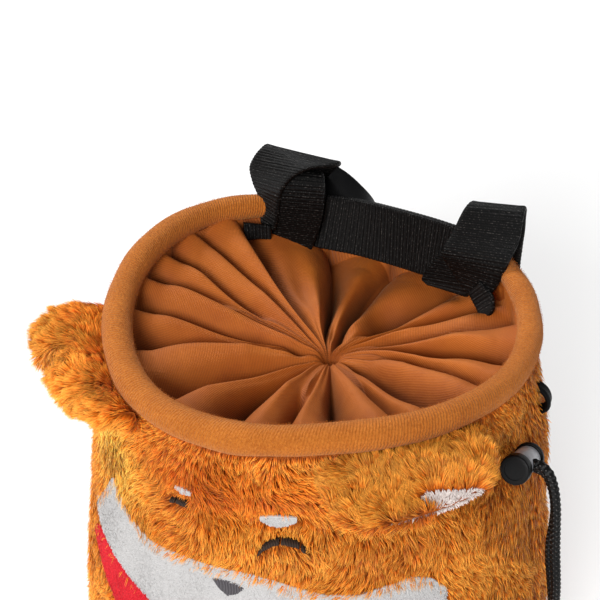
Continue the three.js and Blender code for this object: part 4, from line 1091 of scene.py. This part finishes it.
def foldSide(i, fold, share, odds):  # one line of the cloth from the gather to its sewn edge
    row, after = creaseRows[i], creaseRows[(i + 1) % len(creaseRows)]
    start, end = creaseAngle(row, share), creaseAngle(after, share, 360 if after is creaseRows[0] else 0)
    width = (end - start) * degree * share * bag["rim"]
    bulge = 0.6 * math.sin(math.pi * fold ** 0.75) + 0.4 * (1 - abs(2 * fold ** 0.75 - 1))
    height = foldHeight(i, share)
    first, second = creaseReach(row, share), creaseReach(after, share)
    before = (1 - first) * (foldHeight(i - 1, share) + height) / 2 * (1 - 1.15 * fold)
    beyond = (1 - second) * (foldHeight((i + 1) % len(creaseRows), share) + height) / 2 * (1.15 * fold - 0.15)
    slide = closure["overhang"] * row["lean"] * bulge * np.minimum(1, height / closure["fullFold"])
    angle = mix(start, end, fold) - slide * (end - start)
    edge = skirtEdge(angle)
    heart = np.array([*closure["heart"], bag["height"] - closure["depth"]])
    point = mix(heart, edge, share[:, None])
    sag = closure["sag"] * closure["depth"] * np.sin(math.pi * share) ** 2
    tuck = np.sin(math.pi * np.minimum(1, share * 1.05) ** 0.75) ** 0.5
    tuck = np.maximum(tuck, closure["tuckFloor"] * smoothStep(share, 0.5, 0.9))
    stay = np.minimum(1, 2.2 * share) * (0.4 + 0.6 * tuck)
    deep = mix(row["deep"] * first, after["deep"] * second, fold)
    valley = deep * abs(2 * fold - 1) ** 2.6
    crest = np.maximum(height * bulge, np.maximum(before, beyond)) * tuck
    drop = closure["valley"] * valley * np.minimum(1, 0.09 * width + 0.25) * stay
    fine = closure["fine"] * np.sin(2 * math.pi * (3 * fold + odds[0] * share) + 6 * odds[1]) * (1.1 - share)
    bend = closure["bend"] * np.sin(2 * math.pi * (1.5 * share + odds[1]) + 6 * odds[2] + 2 * fold)
    point[:, 2] += crest - drop + tuck * bulge * (fine + bend * np.minimum(1, width / 8)) - sag
    # painted highlight on the crest, painted shade along the crease
    crease = math.exp(-(min(fold, 1 - fold) / clothShade["creaseWide"]) ** 2)
    shade = 1 + clothShade["crest"] * (bulge - 0.6) * tuck - clothShade["crease"] * crease * deep * stay
    # each hollow sinks the cloth and is painted darker as shade
    for pocket in pocketRows:
        turn = (angle - pocket["at"] + 540) % 360 - 180
        near = np.exp(-(turn / pocket["wide"]) ** 2 - ((share - pocket["out"]) / pocket["long"]) ** 2)
        point[:, 2] -= pocket["deep"] * near
        shade -= clothShade["pocket"] * pocket["deep"] * near
    point[:, 2] -= closure["dimple"] * np.exp(-(share / 0.035) ** 2)
    point[:, 2] += closure["swell"] * odds[2] * bulge * np.exp(-((share - 0.13) / 0.08) ** 2)
    point[:, :2] += unit(point[:, :2] - heart[:2]) * closure["pinch"] * (1 - share[:, None]) ** 6
    shade = np.clip(shade, clothShade["darkest"], clothShade["brightest"])
    return np.concatenate([point, shade[:, None]], 1)


def closureColumns():
    steps = closure["foldSteps"]
    share = np.linspace(0, 1, closure["outSteps"])
    columns, grain = [], []
    for i in range(len(creaseRows)):
        odds = np.random.default_rng(70 + i).uniform(-1, 1, 3)
        side = np.array([foldSide(i, k / steps, share, odds) for k in range(steps + 1)])
        across = np.linalg.norm(np.diff(side[..., :3], axis=0), axis=2)
        across = np.concatenate([np.zeros((1, len(share))), np.cumsum(across, 0)])
        across = across - across[steps // 2]
        down = np.linalg.norm(np.diff(side[steps // 2, :, :3], axis=0), axis=1)
        down = np.broadcast_to(np.concatenate([[0], np.cumsum(down)]), across.shape)
        turn = odds[2] * 0.9
        grain.append(np.stack([across * math.cos(turn) - down * math.sin(turn),
                               across * math.sin(turn) + down * math.cos(turn)], -1))
        columns.append(side)
    return columns, grain


def closureSheet():
    sides, grain = closureColumns()
    steps = closure["foldSteps"]
    top = np.concatenate([side[:steps] for side in sides])
    top, shade = top[..., :3], top[..., 3]
    edge = top[:, -1]
    angle = np.arctan2(edge[:, 1], edge[:, 0]) / degree
    height = np.maximum(edge[:, 2] + closure["lipRise"], rimUp(angle) - rimGirth(angle) * closure["underRim"])
    lip = polar(angle, np.hypot(edge[:, 0], edge[:, 1]) + 0.05, height)
    tail = top[:, 0].copy()
    tail[:, 2] -= closure["tail"]
    top = np.concatenate([tail[:, None], top, lip[:, None]], 1)
    along = np.roll(top, -1, 0) - np.roll(top, 1, 0)
    out = np.gradient(top, axis=1)
    normals = unit(np.cross(out, along) + [0, 0, 1e-6])
    normals *= np.where(normals[..., 2:] < 0, -1, 1)
    under = top - np.stack([0 * top[..., 0], 0 * top[..., 1], np.full(top.shape[:2], closure["thick"])], -1)
    under[:, -1] = top[:, -1] + (unit(top[:, -1] * [1, 1, 0]) * -0.5) - [0, 0, 0.3]
    under[:, 0] = top[:, 0] - [0, 0, 0.5]
    points, faces = wallShape(top, under, True)
    ring = 2 * top.shape[1]
    flat = np.zeros((len(sides) * steps, 2, ring, 2))
    for i, cloth in enumerate(grain):
        padded = np.concatenate([cloth[:, :1], cloth, cloth[:, -1:] + [0, 2]], 1)
        whole = np.concatenate([padded, padded[:, ::-1]], 1)
        flat[i * steps:(i + 1) * steps, 0] = whole[:-1]
        flat[i * steps:(i + 1) * steps, 1] = whole[1:]
    own = (np.arange(len(faces)) // ring)[:, None]
    later = (faces // ring != own).astype(int)
    uv = flat[own, later, faces % ring] * mm
    # the painted shade and highlight go into the tint attribute, redder where darker
    shade = np.concatenate([shade[:, :1], shade, shade[:, -1:]], 1)
    shade = np.concatenate([shade, shade[:, ::-1]], 1).reshape(-1, 1)
    tint = np.concatenate([shade, shade ** 1.15, shade ** 1.3, np.ones_like(shade)], 1)
    piece = meshPiece("closureSheet", points, faces, twill, uv, tint)
    dressed(piece, ["closure_skirt"])


closureSheet()
print("closure done")


# Webbing: grosgrain straps with ribs across them
strap = {"width": 20, "thick": 1.6, "rib": 1.2, "ribDepth": 0.24, "selvedge": 0.12}
rightLoopRows = table(  # both edges of the strap from its foot inside the rim, over the top and down behind
    "leftX leftY leftUp rightX rightY rightUp",
    (31.0, 40.6, -9.6, 38.4, 38.8, -8.0), (25.6, 41.2, -3.5, 41.0, 38.6, -3.0),
    (22.0, 40.0, 3.3, 43.6, 40.8, 5.6),
    (23.6, 43.4, 9.5, 44.6, 46.0, 11.0), (25.0, 46.8, 15.2, 43.6, 51.2, 16.0),
    (25.8, 48.8, 17.0, 43.0, 54.3, 17.2),
    (26.3, 51.3, 16.4, 42.6, 57.0, 15.6), (26.8, 54.2, 12.0, 42.4, 57.6, 11.0),
    (27.4, 59.0, 5.0, 42.8, 55.5, 4.0),
    (28.0, 60.2, -3.0, 43.2, 53.0, -4.0), (28.4, 60.4, -9.0, 44.0, 52.6, -9.0))
leftLegRows = table(  # front leg of the left loop, up to where the folded strap covers it
    "leftX leftY leftUp rightX rightY rightUp",
    (-39.0, 41.2, -13.8, -26.2, 46.0, -15.0), (-38.4, 41.8, -9.0, -24.6, 46.2, -9.6),
    (-36.8, 42.0, -1.0, -22.2, 46.2, -1.0), (-35.8, 42.4, 6.0, -21.5, 46.5, 6.5),
    (-35.0, 44.2, 11.0, -22.0, 47.4, 11.6), (-34.4, 47.4, 13.6, -23.4, 49.6, 13.6),
    (-34.2, 50.6, 12.6, -25.0, 52.4, 11.6), (-34.2, 52.6, 8.6, -26.0, 54.0, 7.6))
leftFlapRows = table(  # the rest of it: up behind the rim, folded over and gathered down to the front
    "leftX leftY leftUp rightX rightY rightUp",
    (-46.6, 52.0, -9.0, -31.0, 58.6, -9.0), (-47.4, 52.4, -2.0, -30.0, 59.6, -2.0),
    (-47.0, 53.4, 6.0, -27.0, 59.4, 6.0), (-46.6, 54.4, 12.6, -22.4, 57.4, 12.6),
    (-46.2, 53.2, 16.4, -19.6, 54.2, 16.4), (-46.6, 51.2, 16.8, -20.6, 49.8, 17.8),
    (-48.6, 49.8, 13.6, -26.0, 45.8, 17.6), (-49.6, 48.6, 9.8, -31.2, 43.4, 14.2),
    (-47.6, 47.0, 5.8, -34.2, 41.6, 9.0), (-44.8, 45.2, 2.8, -35.0, 41.0, 3.4),
    (-43.2, 43.4, -1.0, -35.4, 40.4, -1.6), (-42.0, 41.6, -5.0, -36.2, 40.0, -5.6))
leftTailRows = table(
    "leftX leftY leftUp rightX rightY rightUp",
    (-37.4, 39.8, -9.6, -37.4, 39.6, -3.6), (-40.4, 37.9, -8.8, -40.6, 37.7, -3.0),
    (-44.4, 34.6, -8.6, -44.9, 34.8, -1.8))
mitreRows = table(  # the band's end turned down under the right loop
    "leftX leftY leftUp rightX rightY rightUp",
    (15.4, 45.2, -13.6, 31.0, 41.4, -11.2), (13.6, 46.0, -11.5, 31.9, 41.6, -6.3),
    (19.0, 46.8, -1.1, 33.5, 42.6, 2.0), (25.3, 47.8, 8.4, 34.1, 44.6, 8.6))
rightTailRows = table(
    "leftX leftY leftUp rightX rightY rightUp",
    (31.4, 40.4, -8.7, 35.7, 38.8, -2.0), (33.2, 39.0, -10.0, 38.6, 37.8, -3.4),
    (35.2, 37.6, -11.4, 40.9, 36.6, -4.8),
    (37.2, 36.2, -12.9, 42.0, 35.2, -8.0), (38.8, 35.4, -13.4, 41.4, 34.6, -10.6))
bandRows = table(
    "leftX leftY leftUp rightX rightY rightUp",
    (-27.0, 49.4, -14.6, -24.0, 50.8, 5.6), (-12, 51.2, -14.6, -11.0, 52.8, 6.2),
    (1.0, 51.0, -14.4, 0.4, 52.4, 6.9),
    (12.0, 49.2, -13.6, 12.6, 50.9, 7.9), (19.4, 47.8, -13.0, 22.4, 49.3, 8.5))
sleeveRows = table(
    "leftX leftY leftUp rightX rightY rightUp",
    (-37.0, 62.4, -4.0, -36.0, 54.4, -3.0), (-33.4, 64.0, 4.4, -33.6, 53.0, 1.4),
    (-28.3, 64.5, 8.6, -28.6, 53.2, 2.8),
    (-23.6, 64.5, 7.5, -22.8, 53.6, 2.6), (-20.0, 64.8, 5.2, -17.8, 54.8, 2.4),
    (-16.3, 65.2, 1.8, -13.6, 56.4, 1.8),
    (-13.8, 66.2, -2.2, -10.4, 59.0, 0.6), (-12.2, 67.2, -7.0, -9.0, 62.0, -3.0))


def strapSection(width, thick, bead, sides=9):  # rounded flat section: across and over, both in millimetres
    half, over = width / 2, thick / 2
    across = np.linspace(-half + over, half - over, sides)
    swell = bead * np.exp(-((half - over - np.abs(across)) / 0.9) ** 2)
    corner = over * 0.72
    lower = np.stack([across, -over - swell], -1)
    upper = np.stack([across[::-1], over + swell[::-1]], -1)
    right = [(half - over + corner, -corner), (half, 0), (half - over + corner, corner)]
    left = [(-half + over - corner, corner), (-half, 0), (-half + over - corner, -corner)]
    return np.concatenate([lower, right, upper, left])


def ribbon(name, centres, across, wide, material, ribs=True, width=None, thick=None):
    width, thick = width or strap["width"], thick or strap["thick"]
    step = strap["rib"] / 4 if ribs else 0.8
    joined = np.concatenate([centres, across, wide[:, None]], 1)
    path = smoothPath(joined, 3000)[0]
    travelled = np.concatenate([[0], np.cumsum(np.linalg.norm(np.diff(path[:, :3], axis=0), axis=1))])
    count = max(12, int(travelled[-1] / step))
    stops = np.linspace(0, travelled[-1], count)
    path = np.stack([np.interp(stops, travelled, path[:, k]) for k in range(7)], -1)
    centre, side, share = path[:, :3], unit(path[:, 3:6]), path[:, 6]
    ahead = unit(np.gradient(centre, axis=0))
    over = unit(np.cross(ahead, side))
    section = strapSection(1, 1, 0)
    rings, marks = [], []
    for i in range(count):
        shape = strapSection(width * share[i], thick, strap["selvedge"])
        relief = strap["ribDepth"] * (abs(math.sin(math.pi * stops[i] / strap["rib"])) - 0.8) if ribs else 0
        lift = np.sign(section[:, 1]) * relief * (np.abs(section[:, 0]) < 0.49)
        rings.append(centre[i] + shape[:, :1] * side[i] + (shape[:, 1] + lift)[:, None] * over[i])
        marks.append(np.stack([np.full(len(shape), stops[i]), shape[:, 0]], -1))
    points, faces = loftShape(np.array(rings))
    uv = np.array(marks).reshape(-1, 2)
    uv = np.concatenate([uv, uv[[0, -1]]]) * mm
    return meshPiece(name, points, faces, material, uv)


def edgeRibbon(name, rows, node, material=webbing, ribs=True, thick=None):
    left, right = (np.stack([column(rows, side + "X"), column(rows, side + "Y"),
                             bag["height"] + column(rows, side + "Up")], -1) for side in ("left", "right"))
    wide = np.linalg.norm(right - left, axis=1) / strap["width"]
    piece = ribbon(name, (left + right) / 2, unit(right - left), wide, material, ribs, thick=thick)
    return dressed(piece, [node] if node else [])


sideLoop = {"at": 104, "down": 0.145, "spread": 4.2, "proud": 3.2, "width": 4.4, "thick": 1.4}


def sideLoopPiece():
    turn = np.linspace(0, math.pi, 9)
    down = sideLoop["down"] - sideLoop["spread"] * np.cos(turn) / bag["height"]
    centres = np.array([plush(sideLoop["at"], low, bag["patchLift"] + sideLoop["proud"] * math.sin(t))
                        for low, t in zip(down, turn)])
    outward = polar(sideLoop["at"] - 90, 1, 0)
    across = np.broadcast_to([-outward[1], outward[0], 0], centres.shape)
    piece = ribbon("sideLoop", centres, across, np.ones(len(centres)), elastic, False, sideLoop["width"],
                   sideLoop["thick"])
    return dressed(piece, ["side_loop"])


edgeRibbon("webbingLoopRight", rightLoopRows, "webbing_loop_right")
edgeRibbon("webbingLoopLeft", leftLegRows, "webbing_loop_left")
edgeRibbon("webbingLoopLeftFold", leftFlapRows, None)
edgeRibbon("webbingTailLeft", leftTailRows, "webbing_tail_left")
edgeRibbon("webbingTailRight", rightTailRows, "webbing_tail_right")
edgeRibbon("webbingMitre", mitreRows, None)
edgeRibbon("webbingBand", bandRows, "webbing_band")
edgeRibbon("brushSleeve", sleeveRows, "brush_sleeve", elastic, False, 1.2)
sideLoopPiece()
print("webbing done")


# Cord lock: a grey barrel with a slot for the cords, a cap, and a button that slides over the near end
def activePiece(name, material):
    piece = bpy.context.object
    piece.name = name
    piece.data.materials.clear()
    piece.data.materials.append(material)
    return piece


def applied(piece, kind, **settings):
    modifier = piece.modifiers.new(kind.lower(), kind)
    for key, value in settings.items():
        setattr(modifier, key, value)
    bpy.context.view_layer.objects.active = piece
    bpy.ops.object.modifier_apply(modifier=modifier.name)


def disc(name, radius, low, high, material, bevel):  # a turned piece between two places on the lock's axis
    bpy.ops.object.select_all(action="DESELECT")
    bpy.ops.mesh.primitive_cylinder_add(vertices=64, radius=radius * mm, depth=(high - low) * mm,
                                        location=(0, 0, (low + high) / 2 * mm))
    piece = activePiece(name, material)
    bpy.ops.object.transform_apply(location=True, rotation=True, scale=True)
    if bevel:
        applied(piece, "BEVEL", width=bevel * mm, segments=4, limit_method="ANGLE", angle_limit=50 * degree)
    return piece


def carve(piece, cutter):
    applied(piece, "BOOLEAN", operation="DIFFERENCE", solver="EXACT", object=cutter)
    bpy.data.objects.remove(cutter)


def seated(piece, node, body="bag"):  # from the lock's own axis to its place on the bag
    turn = Matrix.Rotation((lock["tilt"] - 90) * degree, 4, "X")
    piece.data.transform(Matrix.Translation(np.array(lock["middle"]) * mm) @ turn)
    bpy.ops.object.select_all(action="DESELECT")
    piece.select_set(True)
    bpy.context.view_layer.objects.active = piece
    bpy.ops.object.shade_smooth_by_angle(angle=35 * degree)
    return dressed(piece, [node], body)


def buildLock():
    half = lock["length"] / 2
    near = -half + lock["floor"] + lock["travel"] + bag["gap"]
    far = half - lock["capThick"] - bag["gap"]
    barrel = disc("lockBarrel", lock["barrel"], near, far, greyPlastic, 0.45)
    for along in lock["holesAlong"]:
        bpy.ops.mesh.primitive_cylinder_add(vertices=40, radius=lock["hole"] * mm, depth=lock["holeDeep"] * mm,
                                            location=(lock["holeOut"] * mm, 0, along * mm),
                                            rotation=(0, 90 * degree, 0))
        carve(barrel, bpy.context.object)
    seated(barrel, "lock_barrel")
    cap = disc("lockCap", lock["cap"], half - lock["capThick"], half, blackPlastic, 0.35)
    radius, deep = lock["capDish"]
    carve(cap, disc("capCutter", radius, half - deep, half + 1, blackPlastic, 0))
    seated(cap, "lock_cap")
    button = disc("lockButton", lock["cap"], -half, -half + lock["button"], blackPlastic, 0.5)
    bore = lock["barrel"] + lock["slide"]
    carve(button, disc("boreCutter", bore, -half + lock["floor"], half, blackPlastic, 0))
    radius, deep = lock["buttonDish"]
    carve(button, disc("dishCutter", radius, -half - 1, -half + deep, blackPlastic, 0))
    seated(button, "lock_button", "button")


buildLock()
print("cord lock done")


# The base keeps its solid's shape and gets its finish here
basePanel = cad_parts["base_panel"]
basePanel.data.materials.clear()
basePanel.data.materials.append(fleece)


# Studio
studio = {"floor": 4.0, "sky": 0.36, "aim": (0, 0, 0.12)}
lamps = table(
    "name place size power",
    ("keyLight", (-2.0, 1.2, 2.2), 0.8, 80.0), ("fillLight", (0.3, -2.7, 1.5), 1.2, 90.0))


def buildStudio():
    bpy.ops.object.select_all(action="DESELECT")
    bpy.ops.mesh.primitive_plane_add(size=studio["floor"], location=(0, 0, -0.0002))
    floor = bpy.context.object
    floor.name = "floor"
    material, _ = newMaterial("paperFloor", {"Base Color": (0.9, 0.9, 0.9, 1), "Roughness": 0.9})
    floor.data.materials.append(material)
    world = bpy.data.worlds.new("studioSky")
    bpy.context.scene.world = world
    world.use_nodes = True
    background = world.node_tree.nodes["Background"]
    background.inputs["Color"].default_value = (1, 1, 1, 1)
    background.inputs["Strength"].default_value = studio["sky"]
    for row in lamps:
        data = bpy.data.lights.new(row["name"], "AREA")
        data.size = row["size"]
        data.energy = row["power"]
        lamp = bpy.data.objects.new(row["name"], data)
        bpy.context.collection.objects.link(lamp)
        ahead = unit(np.array(row["place"]) - studio["aim"])
        across = unit(np.cross([0, 0, 1], ahead))
        lamp.matrix_world = placed(across, np.cross(ahead, across), ahead, row["place"])
    bpy.context.scene.view_settings.view_transform = "Standard"


buildStudio()
print("studio done")
